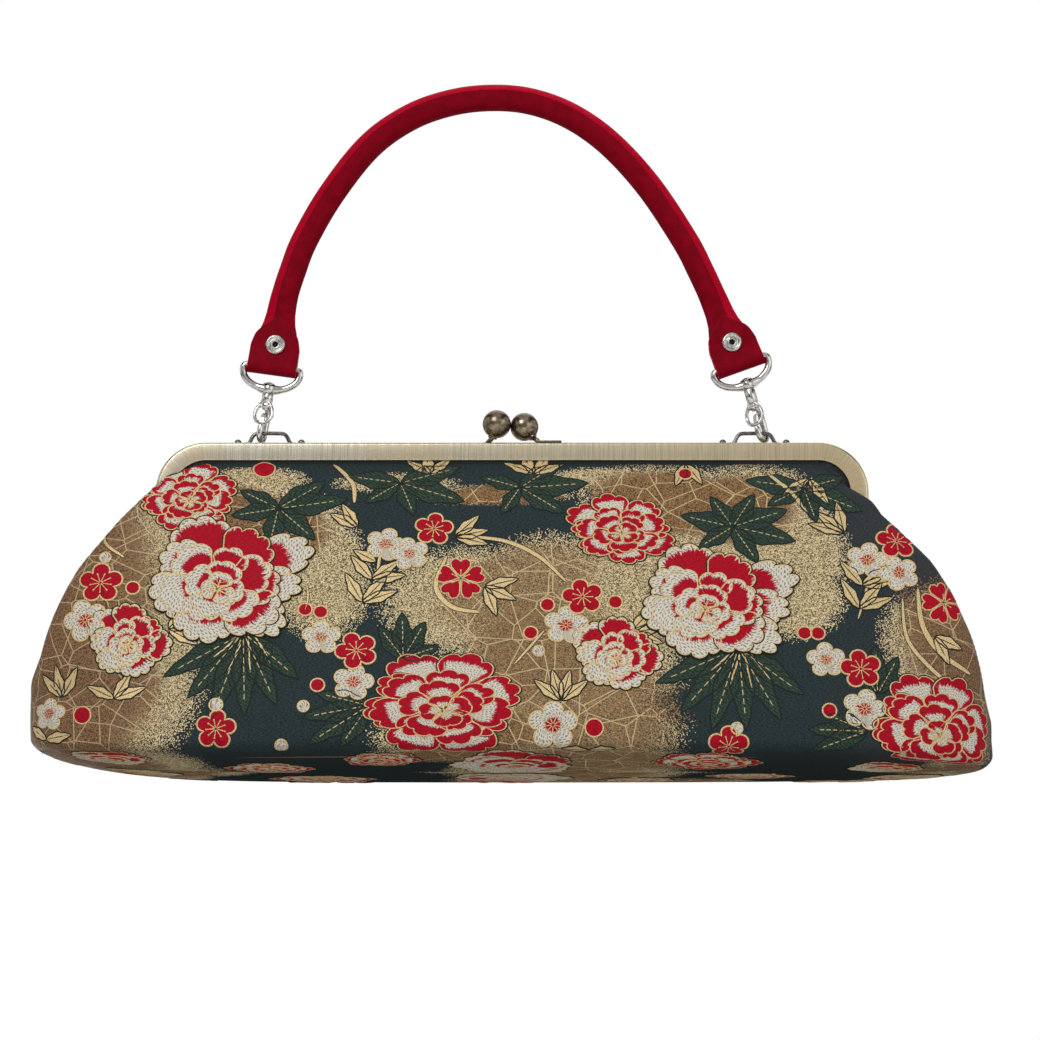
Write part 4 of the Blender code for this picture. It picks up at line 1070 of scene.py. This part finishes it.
def bud(figures, x, z, radius, white=False):
    outline = np.array(arc((0, 0), radius, 0, 2 * pi, 18)[:-1])
    place = placed(figures.where(x, z))
    figures.patch(outline, place, 0.17, PETAL, lambda spots: np.full(len(spots), float(white)))
    figures.edge(outline, place, 0.17, 0.35, 0.2)


def leaf_outline(length, width):
    share = np.linspace(0, 1, 18)
    half = width / 2 * np.sin(pi * share ** 0.85) ** 0.9 * (1 + 0.1 * np.sin(share * 16))
    half[0] = half[-1] = 0
    right = np.stack([half, share * length], 1)
    left = np.stack([-half, share * length], 1)[::-1][1:-1]
    return np.concatenate([right, left])


def leaf(figures, centre, length, width, turn, kind, lift):
    """A pointed leaf with a dark rim and dashed gold veins."""
    place = placed(centre, turn)
    outline = leaf_outline(length, width)
    figures.patch(outline, place, lift, kind)
    figures.edge(outline, place, lift, 0.28, 0.22, DARK)
    if kind is GOLD:
        figures.thread(place(np.array([(0, 0.1 * length), (0, 0.5 * length), (0, 0.9 * length)])),
                       [0.3, 0.4, 0.2], lift + 0.05, DARK)
        return
    for start in np.arange(0.08, 0.84, 0.11):
        line = np.array([(0, start * length), (0, (start + 0.07) * length)])
        figures.thread(place(line), [0.32, 0.25], lift + 0.03)
    for start in (0.22, 0.36, 0.50, 0.64):
        for side in (-1, 1):
            line = np.array([(side * 0.08 * width, start * length),
                             (side * 0.34 * width, (start + 0.13) * length)])
            figures.thread(place(line), [0.35, 0.25], lift + 0.03, DARK)


def spray(figures, x, z, leaves, width=9.5, kind=GREEN, lift=0.11):
    """Leaves round one spot: each is (direction in degrees, length)."""
    centre = figures.where(x, z)
    for index, (way, length) in enumerate(leaves):
        leaf(figures, centre, length, min(width, length * 0.42), radians(way - 90), kind,
             lift + 0.008 * index)


def stem(figures, spots, width):
    """A curved stem or ribbon through spots seen from the front."""
    line = [Vector(figures.where(x, z)) for x, z in spots]
    for spot in line:
        spot.x += 2 * REPEAT * round((line[0].x - spot.x) / (2 * REPEAT))
    line = bezier_through(line, 7)
    share = np.linspace(0, 1, len(line))
    widths = width * (0.3 + 0.7 * np.sin(pi * share) ** 0.5)
    figures.thread(line, widths + 0.5, 0.10, DARK)
    figures.thread(line, widths, 0.13)


def big_clusters(f):
    """Two repeats of the great white peony, with a red one behind it and a small one below."""
    spray(f, -86, 98, [(150, 17), (35, 21), (8, 26), (-45, 20), (-100, 18), (190, 18)])
    spray(f, -42, 108, [(170, 20), (20, 24), (-20, 26), (-70, 16), (215, 16)])
    spray(f, 3, 106, [(160, 16), (40, 20), (5, 26), (-35, 20), (-120, 14)])
    spray(f, 81, 90, [(165, 20), (120, 16), (60, 17), (20, 22), (-15, 24), (-60, 18), (215, 16)])
    spray(f, 109, 106, [(170, 22), (20, 18), (-25, 24), (-75, 16), (210, 16)])
    spray(f, -100, 48, [(-150, 34), (-128, 33), (-108, 36), (-88, 33), (-66, 32), (-42, 28)], 8.5)
    spray(f, 84, 42, [(-155, 34), (-130, 34), (-108, 34), (-86, 32), (-62, 32), (-38, 30)], 8.5)
    for x, z in ((-98, 50), (86, 44)):
        for way in (-140, -112, -84, -58):
            across, up = cos(radians(way)), sin(radians(way))
            stem(f, [(x + run * across, z + run * up) for run in (0, 8.5, 17)], 0.7)
    peony(f, -121, 103, 19, "red", 0.80, 0.4)
    peony(f, 40, 89, 20, "red", 0.72, 0.9)
    peony(f, -110, 69, 26, "white", 0.95, 0.2, 1, [(-1.15, 37), (-1.65, 31), (-2.3, 33)])
    peony(f, 70, 60, 24, "white", 0.92, 0.2, 1, [(-1.2, 36), (-1.65, 31), (-2.2, 33)])
    peony(f, -144, 46, 15, "white", 0.95, 0.8)
    peony(f, 38, 40, 15.5, "white", 0.95, 0.8)
    peony(f, -26, 21, 30, "red", 0.62, 0.3)
    peony(f, 156, 15, 27, "red", 0.70, 0.3)


def small_figures(f):
    """Blossoms, buds, gold leaves and ribbons between the clusters."""
    stem(f, [(-54, 58), (-50, 70), (-47, 82), (-38, 79)], 1.0)
    stem(f, [(128, 54), (131, 66), (133, 78), (143, 74)], 1.0)
    for x, z, length, ways in ((-55, 60, 14, (20, 50, 118)), (-52, 69, 13, (8, 38, 128)),
                               (-50, 76, 10, (150,)), (128, 58, 14, (20, 50, 118)),
                               (130, 67, 13, (10, 38, 128)), (-57, 90, 12, (150, 120)),
                               (-21, 86, 13, (-15, 12, 45)), (-10, 66, 13, (-70, -25, 15)),
                               (122, 88, 14, (140, 165, 100)), (158, 48, 12, (-60, -20)),
                               (-92, 36, 10, (70, 110)), (18, 22, 13, (40, 75, 105, 140)),
                               (-166, 26, 14, (60, 100, 130)), (-172, 8, 12, (10, 150)),
                               (-146, 24, 13, (20, 60, 150)), (44, 48, 13, (-20, 10, 50)),
                               (-128, 50, 13, (15, 55, -30)), (8, 112, 13, (150, 110, 60, 25)),
                               (-30, 112, 12, (140, 100, 50)), (64, 116, 12, (-60, -110)),
                               (28, 4, 10, (10, 170)), (112, 110, 14, (-100, -60, -140))):
        spray(f, x, z, [(way, length) for way in ways], 4.4, GOLD, 0.12)
    spray(f, -40, 38, [(92, 19), (62, 17), (125, 16), (20, 14)], 7.5)
    spray(f, -52, 20, [(190, 25), (212, 26), (165, 20), (235, 18)], 7)
    spray(f, 134, 26, [(92, 19), (62, 17), (125, 16)], 7.5)
    spray(f, 130, 12, [(180, 22), (200, 22), (160, 16)], 7)
    for width, spots in (
            (1.5, [(-16, 86), (-2, 84), (10, 78), (20, 68)]),
            (1.8, [(-24, 78), (-28, 66), (-22, 58), (-12, 56)]),
            (2.0, [(150, 66), (152, 52), (160, 42), (170, 36)]),
            (1.4, [(144, 62), (148, 46), (158, 34), (168, 30)]),
            (1.6, [(-66, 116), (-60, 108), (-58, 100)]),
            (1.6, [(96, 112), (104, 104), (108, 96)]),
            (0.9, [(12, 49), (7, 43), (1, 36)]),
            (0.7, [(-76, 57), (-75, 62), (-76, 67)]),
            (1.2, [(-153, 92), (-150, 84), (-143, 78)])):
        stem(f, spots, width)
    for row in (
            (-47, 83, 7.4, True, 0, 0), (-38, 79, 7.2, True, 0.5, 0.3),
            (-29, 89, 7.4, False, 0.2, 0), (-71, 46, 7.2, True, 0.3, 0),
            (-58, 29, 7.6, True, 0.1, 0), (-58, 41, 8.0, False, 0.7, 0.3),
            (15, 13, 9.2, True, 0.3, 0), (-108, 12, 7.6, False, 0.2, 0),
            (26, 62, 7.8, False, 0.5, 0.3), (20, 51, 8.2, True, 0.2, 0),
            (-152, 68, 8.6, False, 0.3, 0.3), (-158, 54, 8.6, True, 0.6, 0),
            (132, 77, 7.8, True, 0.1, 0), (143, 72, 7.6, True, 0.7, 0.3),
            (143, 85, 8.0, False, 0.4, 0), (116, 38, 7.2, True, 0.4, 0),
            (129, 20, 8.2, True, 0.1, 0), (129, 35, 8.0, False, 0.5, 0.3),
            (79, 6, 7.6, False, 0.3, 0), (-171, 19, 7.6, True, 0.2, 0)):
        blossom(f, *row)
    cherry(f, -19, 69, 9.0)
    cherry(f, 158, 61, 8.6, 0.3)
    for row in (
            (30, 12, 3.4), (-108, 21, 2.6, True), (-84, 6, 2.4, True), (-158, 18, 3.6),
            (-92, 114, 4.2), (-76, 57, 2.7), (-70.5, 56, 2.7), (-71, 28, 2.7), (13, 59, 2.7),
            (38, 60, 2.7), (7, 48, 2.7), (109, 48, 2.7), (114, 48, 2.7), (116, 19, 2.7),
            (65, 112, 2.7), (-140, 66, 2.7), (10, 41, 2.2, True), (82, 12, 2.2, True),
            (-76, 20, 2.2, True), (-150, 78, 2.2, True)):
        bud(f, *row)


def frame_shadow(f):
    """A dark thread along the frame's lower edge: painted shadow where the cloth goes up into the
    frame.
    """
    top = float(f.cloth.up[len(f.cloth.levels) - 1]) + 0.9
    spans = f.cloth.spans[len(f.cloth.levels) - 1] * 0.995
    left, right = (spans[0], spans[1]) if f.cloth.front < 0 else (spans[1], spans[0])
    across = np.linspace(-left, right, 120)
    f.thread([(x, top) for x in across], np.full(120, 1.7), 0.06, DARK)


def base_figures(f):
    """The flowers that run on under the base."""
    for across, up, radius, kind in ((0, -20, 24, "white"), (-150, -14, 17, "white"),
                                     (-90, -28, 15, "red"), (72, -16, 18, "red"),
                                     (140, -24, 15, "white"), (-48, -12, 13, "red")):
        peony(f, across, up, radius, kind, 0.75, 0.02 * across)


def move_to_back(across, up):
    """The back is cut from the same cloth, half a repeat further along."""
    return (across + 1.5 * REPEAT) % (2 * REPEAT) - REPEAT, up


for side_cloth, word, move in ((FRONT, "front", None), (BACK, "back", move_to_back)):
    woven = Figures(side_cloth, move)
    big_clusters(woven)
    small_figures(woven)
    base_figures(woven)
    frame_shadow(woven)
    woven.build(word + "_figures")


# The purse frame


def frame_path():
    """The rim of the frame as (x, z), from one leg's end to the other."""
    steps = 24
    left = arc((-CORNER_X, CORNER_Z), FRAME_CORNER, pi, pi / 2, steps)
    right = arc((CORNER_X, CORNER_Z), FRAME_CORNER, pi / 2, 0, steps)
    return [(-HALF_WIDTH, LEG_END), *left, *right, (HALF_WIDTH, LEG_END)]


def along_frame(x, z):
    """Distance along the frame of a point near it, with the middle of the top as zero."""
    if abs(x) <= CORNER_X:
        return x
    bend = atan2(abs(x) - CORNER_X, z - CORNER_Z) if z > CORNER_Z else pi / 2
    run = CORNER_X + BRUSH_RADIUS * bend + max(CORNER_Z - z, 0)
    return run if x > 0 else -run


def channel_section():
    """The channel's section as (inwards from the rim, depth), with rounded edges."""
    far, wall, face = FACE_FAR, CHANNEL_WALL, CHANNEL_FACE
    rim = arc((1.2, far - 1.2), 1.2, pi, pi / 2, 6)
    lip = arc((face - 0.35, far - 0.35), 0.35, pi / 2, 0, 3)
    back = arc((CHANNEL_LIP - 0.25, FACE_NEAR + 0.25), 0.25, 0, -pi / 2, 3)
    return ([(0.3, FACE_NEAR), (0, FACE_NEAR + 0.3)] + rim + lip
            + [(face, far - wall), (wall, far - wall), (wall, FACE_NEAR + wall),
               (CHANNEL_LIP, FACE_NEAR + wall)] + back)


def channel(front):
    section = channel_section()
    points = []
    for x, z in frame_path():
        corner = Vector((max(-CORNER_X, min(CORNER_X, x)), min(z, CORNER_Z)))
        inward = (corner - Vector((x, z))).normalized()
        for run, depth in section:
            points.append((x + inward.x * run, front * depth, z + inward.y * run))
    return swept("channel", points, len(section))


def ear(side, outer, inner, front):
    """A hinge ear with its neck, which runs up inside the leg."""
    turn = Matrix.Rotation(pi / 2, 4, "Y")
    middle, width = side * (outer + inner) / 2, outer - inner
    made = disc(4, width, (middle, 0, HINGE), turn, 0.15)
    hole = disc(1.7, 6, (middle, 0, HINGE), turn, 0.01)
    neck = rounded_block((side * outer, front * 0.5, HINGE),
                         (side * inner, front * 4, LEG_END + 3), 0.1)
    return combined(combined(made, neck, "UNION"), hole, "DIFFERENCE")


def purse_frame(name, front, body):
    made = channel(front)
    for side in (-1, 1):
        outer, inner = (134.9, 134.1) if front < 0 else (133.8, 133.0)
        made = joined(made, ear(side, outer, inner, front))
        if front > 0:
            made = joined(made, rounded_block((side * inner, 0.6, LEG_END + 0.9),
                                              (side * 134.6, 3.8, LEG_END + 4), 0.1))
    settle(made, name, BRASS, 32)
    values = [along_frame(vert.co.x / MM, vert.co.z / MM) for vert in made.data.vertices]
    note(made, "Along", values)
    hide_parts(name)
    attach(made, body)


purse_frame("front_frame", -1, "front_half")
purse_frame("back_frame", 1, "bag")


# Ball clasps

BALL_RADIUS, COLLAR = 5.4, 5.3


def clasp(word, side, front, body, spot, lean):
    """A ball on a curved neck that rises from a flat foot riveted to the frame."""
    centre, foot_y = Vector((spot[0], -front * 1.3, spot[1])), front * 3.1
    foot = rounded_block((side * 9.4, foot_y - 2.1, 125.2), (side * 18.8, foot_y + 2.1, 125.85),
                         0.2)
    root = Vector((side * 9.9, foot_y, 125.5))
    collar_way = Vector((side * sin(lean), front * 0.2, -cos(lean))).normalized()
    joint = centre + collar_way * COLLAR
    neck = [root, Vector((side * 9.5, foot_y, 126.2)),
            mix(root, joint, 0.6) + Vector((side * 0.15, 0, -0.1)), joint, centre + collar_way * 3]
    post = tube(bezier_through(neck, 6), 0.95, sides=5)
    settle(joined(post, foot), word + "_clasp_stem", BALL_BRASS)
    collar = turned([(0, 0.5), (1.5, 0.5), (1.75, 0.25), (1.75, -0.25), (1.5, -0.5), (0, -0.5)], 24)
    collar.data.transform(Matrix.Translation(joint * MM)
                          @ collar_way.to_track_quat("Z", "Y").to_matrix().to_4x4())
    deselect()
    bpy.ops.mesh.primitive_uv_sphere_add(segments=48, ring_count=28, radius=BALL_RADIUS * MM,
                                         location=centre * MM)
    ball = joined(bpy.context.view_layer.objects.active, collar)
    settle(ball, word + "_clasp_ball", BALL_BRASS)
    for piece, node in ((post, word + "_clasp_stem"), (ball, word + "_clasp_ball")):
        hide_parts(node)
        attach(piece, body)


clasp("front", 1, -1, "front_half", (4.65, 132.2), radians(38))
clasp("back", -1, 1, "bag", (-5.85, 132.8), radians(18))


# Handle loops, snap hooks and D-rings

LUG = 12.1  # from a loop's middle to the rivet of each lug


def handle_loop(word, side):
    """A bent wire loop with a flat lug at each end, and the two rivets through the lugs."""
    middle = side * LOOP_X
    half = [(-9.8, 125.8), (-8.6, 125.85), (-7.6, 126.6), (-6.6, 128.6), (-5.3, 129.8),
            (-2.8, WIRE_Z)]
    path = half + [(-x, z) for x, z in reversed(half)]
    path = [(middle + x, LOOP_Y, z) for x, z in bezier_through(path, 4)]
    made = tube(path, 0.75, sides=5)
    for end in (-1, 1):
        x = middle + end * LUG
        made = joined(made, disc(1.9, 0.8, (x, LOOP_Y, 125.7)))
        made = joined(made, rounded_block((x, LOOP_Y - 1.1, 125.3),
                                          (middle + end * 8.6, LOOP_Y + 1.1, 126.1), 0.2))
    settle(made, word + "_loop", DARK_NICKEL)
    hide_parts(word + "_loop")
    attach(made, "bag")
    for place, end in (("outer", side), ("inner", -side)):
        node = f"{word}_loop_{place}_rivet"
        rivet = turned([(0, 1.3), (0.5, 1.22), (0.95, 0.95), (1.25, 0.5), (1.35, 0.12), (1.35, 0),
                        (0.9, 0), (0.9, -2.6), (1.5, -2.6), (1.3, -3.1), (0, -3.1)], 28)
        rivet.location = Vector((middle + end * LUG, LOOP_Y, 126.4)) * MM
        settle(rivet, node, DARK_NICKEL)
        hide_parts(node)
        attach(rivet, "bag")


def d_ring(word, side):
    """A thick D-ring with a round eye on its bow for the swivel post."""
    bar = RING_BAR - 1.5
    bow = []
    for step in range(41):
        angle = pi * step / 40
        bow.append((RING_HALF * cos(angle), bar - (bar - RING_BOW) * abs(sin(angle)) ** 0.9))
    left = arc((-RING_HALF + 1.5, bar), 1.5, pi, pi / 2, 6)[1:]
    right = arc((RING_HALF - 1.5, bar), 1.5, pi / 2, 0, 6)[:-1]
    path = [(x, 0, z) for x, z in bow + left + right]
    radii = [1 + 0.45 * float(smooth(1.25 - abs(x) / 4.4)) * (z < RING_BOW + 4)
             for x, _, z in path]
    made = tube(path, RING_WIRE + 0.22, closed=True, radii=radii)
    boss = turned([(1.5, 1.5), (2.0, 1.5), (2.5, 1.1), (2.7, 0), (2.5, -1.1), (2.0, -1.6),
                   (1.5, -1.6), (1.5, 1.5)], 32)
    boss.data.transform(Matrix.Translation((0, 0, RING_BOW * MM)))
    hole = disc(1.5, 12, (0, 0, RING_BOW), bevel=0.01)
    made = joined(combined(made, hole, "DIFFERENCE"), boss)
    made.data.transform(ring_frame(side))
    settle(made, word + "_ring", NICKEL)
    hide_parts(word + "_ring")
    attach(made, "handle")


def snap_hook(word, side, yaw):
    """Swivel post, barrel and hook, with the bend round the loop wire."""
    spine = [(0, 0, 11.6), (1.3, 0, 10.7), (2.5, 0, 9.2), (3.0, 0, 7.4), (2.8, 0, 4.4)]
    bend = [(x, 0, z) for x, z in arc((0, 0.1), 2.8, 0, -pi, 16)]
    spine = bezier_through(spine, 4)
    path = spine + bend + [(-2.7, 0, 1.4), (-2.8, 0, 2.3), (-2.9, 0, 3.0)]
    radii = [0.85 + 0.2 * float(smooth(step / 12 - 0.4)) for step in range(len(spine))]
    radii += [0.9 + 0.08 * sin(pi * step / 16) for step in range(17)] + [0.9, 0.8, 0.55]
    made = tube(path, 1.25, radii=radii)
    across = Matrix.Rotation(pi / 2, 4, "X")
    head = disc(1.9, 2.4, (0, 0, 10.9), across, 0.4)
    more = RIGHT_RISE if side > 0 else 0
    post = [(0, 20.1), (1.0, 20.0), (1.8, 19.7), (2.3, 19.3), (2.3, 19.1), (1.2, 19.1)]
    post = [(radius, height + more) for radius, height in post]
    post = turned(post + [(1.2, 15.4 + more), (1.95, 15.4 + more), (2.15, 15.15 + more),
                          (2.15, 12.4), (1.9, 12.1), (1.3, 11.9), (1.2, 11.2), (0, 11)], 32)
    made = joined(made, head, post)
    made.data.transform(end_frame(side) @ Matrix.Rotation(yaw, 4, "Z"))
    settle(made, word + "_hook", NICKEL, 50)
    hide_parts(word + "_hook")
    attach(made, word + "_swivel")


def gate(word, side, yaw):
    """The sprung gate, an oval wire that closes the hook's mouth, and its pin."""
    place = end_frame(side) @ Matrix.Rotation(yaw, 4, "Z")
    half = [(-1.0, 1.3, 12.0), (-1.0, 2.3, 10.7), (-1.5, 3.2, 8.9), (-1.8, 3.5, 6.8),
            (-2.4, 2.7, 4.9), (-3.2, 1.2, 3.8)]
    line = bezier_through(half + [(x, -y, z) for x, y, z in reversed(half)], 5)
    made = tube(line, 0.68, closed=True, sides=4)
    made.data.transform(place)
    settle(made, word + "_gate", NICKEL, 50)
    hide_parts(word + "_gate")
    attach(made, word + "_latch")
    pin = turned([(0, 2.2), (0.7, 2.1), (0.95, 1.8), (0.6, 1.8), (0.6, -1.8), (0.95, -1.8),
                  (0.7, -2.1), (0, -2.2)], 20)
    pin.data.transform(place @ Matrix.Translation(Vector((-1, 0, 10.6)) * MM)
                       @ Matrix.Rotation(pi / 2, 4, "X"))
    settle(pin, word + "_gate_pin", NICKEL, 50)
    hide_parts(word + "_gate_pin")
    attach(pin, word + "_swivel")


def softened(node, body, material):
    """A merged and smoothed copy of a small CAD part."""
    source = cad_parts[node]
    made = bpy.data.objects.new(node + "_eased", source.data.copy())
    bpy.context.scene.collection.objects.link(made)
    made.matrix_world = source.matrix_world
    settle(made, node + "_eased", material, 35)
    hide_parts(node)
    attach(made, body)


for word, side, yaw in (("left", -1, 75), ("right", 1, 55)):
    handle_loop(word, side)
    d_ring(word, side)
    snap_hook(word, side, radians(yaw))
    gate(word, side, radians(yaw))
    softened(word + "_gate_spring", word + "_swivel", NICKEL)
    softened(word + "_hinge_rivet", "bag", BRASS)

for node, material in (("base_board", BOARD), ("front_paper_cord", PAPER),
                       ("back_paper_cord", PAPER)):
    cad_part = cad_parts[node]
    for material_slot in cad_part.material_slots:
        material_slot.material = material


# Leather handle


def tab_rivet(word, side):
    """A tubular rivet: a grooved head with a curled hole, painted near black inside as shade."""
    profile = [(0.85, 1.6), (0.9, 2.3), (1.15, 2.8), (1.5, 2.95), (1.75, 2.85), (1.95, 2.5),
               (2.3, 2.4), (2.6, 2.5), (2.85, 2.8), (3.2, 2.85), (3.55, 2.65), (3.8, 2.3),
               (3.85, 2.05), (1.5, 2.05), (1.5, -2.05), (2.8, -2.05), (2.7, -2.4), (2.3, -2.65),
               (1.3, -2.65), (1.0, -2.3), (0.85, -1.6), (0.85, 1.6)]
    made = turned(profile, 48)
    # The hole's inside is a small cup in near black: painted shade.
    well = turned([(0, 1.8), (0.9, 1.8), (0.9, 2.5), (0.85, 2.5), (0.85, 1.95), (0, 1.95)], 24)
    well.data.materials.append(RIVET_HOLE_SHADE)
    made.data.materials.append(RIVET_NICKEL)
    made = joined(made, well)
    place = ring_frame(side) @ Matrix.Translation((0, 0, (RING_BAR + TAB_RIVET) * MM))
    made.data.transform(place @ Matrix.Rotation(pi / 2, 4, "X"))
    settle(made, word + "_strap_rivet", None, 50)
    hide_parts(word + "_strap_rivet")
    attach(made, "handle")


def tab(word, side):
    """The leather folded round the ring's bar, with a pointed end on each face."""
    half_layers, closed, fold = LEATHER / 2 + 0.15, 5.5, RING_WIRE + 0.3 + LEATHER / 2
    reach = sqrt(half_layers ** 2 + closed ** 2)
    leaves = atan2(closed, half_layers) - acos(fold / reach)
    bend = arc((0, 0), fold, pi - leaves, 2 * pi + leaves, 22)
    columns = np.linspace(-TAB_HALF, TAB_HALF, 48)
    points = []
    for x in columns:
        top = float(np.interp(abs(x), *zip(*TAB_TOP)))
        front = [(-half_layers, mix(top, closed, share)) for share in np.linspace(0, 1, 7)]
        line = front + bend + [(-y, z) for y, z in reversed(front)]
        points += [(x, y, RING_BAR + z) for y, z in line]
    made = mesh_piece("tab", points, bands(len(columns), len(line)))
    face_outwards(made)
    modify(made, "SOLIDIFY", thickness=LEATHER * MM, offset=0)
    modify(made, "BEVEL", width=0.45 * MM, segments=3, angle_limit=radians(50))
    # The tab's faces take the shaded copy of the leather, and its rims and the edges of its pointed
    # end the lighter copy as a painted highlight.
    for material in (SHADED_LEATHER, EDGE_HIGHLIGHT_LEATHER):
        made.data.materials.append(material)
    for face in made.data.polygons:
        above = face.center.z > (RING_BAR + 7.5) * MM and abs(face.normal.y) < 0.93
        face.material_index = int(above or abs(face.normal.x) > 0.4)
    made.data.transform(ring_frame(side))
    settle(made, word + "_tab", None, 45)
    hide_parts("handle_strap")
    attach(made, "handle")


def strap_path():
    """The middle line of the handle as (x, z), from the left tab over the top to the right tab."""
    ends = []
    for side in (-1, 1):
        spots = [ring_frame(side) @ Vector((0, 0, (RING_BAR + run) * MM)) / MM
                 for run in (STRAP_START, 12)]
        ends.append([Vector((spot.x, spot.z)) for spot in spots])
    return bezier_through(ends[0] + HANDLE_SPOTS + ends[1][::-1], 12)


def strap():
    """The padded strap: an outer face painted lighter as lit, a ridge and a side painted darker as
    shade, flattened into each tab.
    """
    path = strap_path()
    steps = [0.0]
    for first, second in zip(path, path[1:]):
        steps.append(steps[-1] + (second - first).length)
    half = [(4.9, 0), (4.8, 1.2), (4.4, 2.4), (3.65, 3.5), (2.7, 4.3), (1.8, 4.8), (0.65, 4.7),
            (-0.9, 4.5), (-2.4, 4.05), (-3.7, 3.3), (-4.7, 2.3), (-5.25, 1.1), (-5.4, 0)]
    section = half + [(run, -depth) for run, depth in reversed(half[1:-1])]
    count = len(section)
    points = []
    for index, spot in enumerate(path):
        before, after = path[max(index - 1, 0)], path[min(index + 1, len(path) - 1)]
        way = (after - before).normalized()
        out = Vector((-way.y, way.x))
        run_in = min(steps[index], steps[-1] - steps[index]) + STRAP_START
        flare = float(np.interp(run_in, [STRAP_START, 13.6, 17, 21, 30],
                                [0.75, 0.52, 0.25, 0.1, 0]))
        swell = float(smooth((run_in - 17.5) / 16))
        for run, depth in section:
            wide = run * mix(1, 1.9 if run > 0 else 1.75, flare)
            deep = depth * mix(0.28, 1, swell)
            points.append((spot.x + out.x * wide, LOOP_Y - deep, spot.y + out.y * wide))
    made = swept("strap", points, count, SHADED_LEATHER, LIT_LEATHER, flip=True)
    ridge = 5
    # The outer face takes the lit copy of the leather and the rest the shaded copy: painted light
    # and shade.
    for index, face in enumerate(made.data.polygons[:-2]):
        spot = index % count
        face.material_index = 1 if spot < ridge or spot >= count - ridge else 0
    settle(made, "strap", None, 24)
    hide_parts("handle_strap")
    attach(made, "handle")


strap()
for word, side in (("left", -1), ("right", 1)):
    tab(word, side)
    tab_rivet(word, side)


# Floor, lights and camera


def pale_floor():
    """A floor that is seen from above only, so the low camera and the light from below pass it."""
    made = Finish("pale_floor", (0.9, 0.9, 0.9), 0.9)
    path = made.node("LightPath").outputs
    seen = made.larger(path["Is Camera Ray"],
                       made.larger(path["Is Glossy Ray"], path["Is Transmission Ray"]))
    behind = made.node("NewGeometry").outputs["Backfacing"]
    spread = made.node("VectorMath", {0: made.place()}, operation="LENGTH").outputs["Value"]
    shown = made.times(made.times(seen, made.minus(1.0, behind)),
                       made.between(spread, 450, 1500, 1.0, 0.0))
    clear = made.node("BsdfTransparent").outputs[0]
    blend = made.node("MixShader", {0: shown, 1: clear, 2: made.shader.outputs[0]})
    made.links.new(blend.outputs[0], made.surface)
    deselect()
    bpy.ops.mesh.primitive_plane_add(size=6, location=(0, 0, -0.0002))
    floor = bpy.context.view_layer.objects.active
    floor.name = "floor"
    floor.data.materials.append(made.material)


def surroundings():
    """White behind the bag and in its metal, a darker room round the camera, and even light on
    cloth."""
    world = bpy.data.worlds.new("studio")
    bpy.context.scene.world = world
    world.use_nodes = True
    made = Nodes(world.node_tree)
    way = made.node("SeparateXYZ", {"Vector": made.node("TexCoord").outputs["Generated"]}).outputs
    ceiling = made.between(way["Z"], -0.08, 0.1, 0.2, 1.0)
    behind = made.between(way["Y"], -0.8, 0.3, 0.55, 1.0)
    aside = made.math("ABSOLUTE", way["X"])
    strips = made.larger(made.between(aside, 0.42, 0.5, 1.0, 0.08),
                         made.between(aside, 0.72, 0.8, 0.08, 1.0))
    room = made.times(made.times(ceiling, behind), strips)
    rays = made.node("LightPath").outputs
    shiny = made.larger(rays["Is Glossy Ray"], rays["Is Transmission Ray"])
    light = made.mixed(shiny, (0.42, 0.42, 0.42), room)
    light = made.mixed(rays["Is Camera Ray"], light, (1, 1, 1))
    made.links.new(light, made.nodes["Background"].inputs["Color"])


def soft_lamp(name, spot, target, size, energy, mirrored=True):
    """A square lamp. One that isn't mirrored leaves no white patch in the metal."""
    data = bpy.data.lights.new(name, "AREA")
    data.size, data.energy = size, energy
    lamp = bpy.data.objects.new(name, data)
    bpy.context.scene.collection.objects.link(lamp)
    lamp.location = spot
    lamp.visible_glossy = mirrored
    lamp.rotation_euler = (Vector(target) - Vector(spot)).to_track_quat("-Z", "Y").to_euler()


# The photo's view, from a little below: its angle and tilt in degrees, its spot in metres
VIEW_ANGLE, VIEW_TILT, VIEW_SPOT = 15.84, 9.31, (0.003, -1.400, -0.13348)


def camera():
    data = bpy.data.cameras.new("camera")
    data.angle = radians(VIEW_ANGLE)
    seen = bpy.data.objects.new("camera", data)
    bpy.context.scene.collection.objects.link(seen)
    seen.location = VIEW_SPOT
    seen.rotation_euler = (radians(90 + VIEW_TILT), 0, 0)
    bpy.context.scene.camera = seen


pale_floor()
surroundings()
soft_lamp("key", (-0.55, -1.1, 0.95), (0, 0, 0.08), 0.7, 9)
soft_lamp("fill", (0.9, -0.9, 0.35), (0, 0, 0.08), 0.9, 3.5)
soft_lamp("top", (0.1, 0.3, 1.2), (0, 0, 0.1), 0.8, 7, False)
soft_lamp("under", (0, -1.3, -0.6), (0, 0, 0.02), 0.9, 4)
camera()
bpy.context.scene.view_settings.view_transform = "Standard"
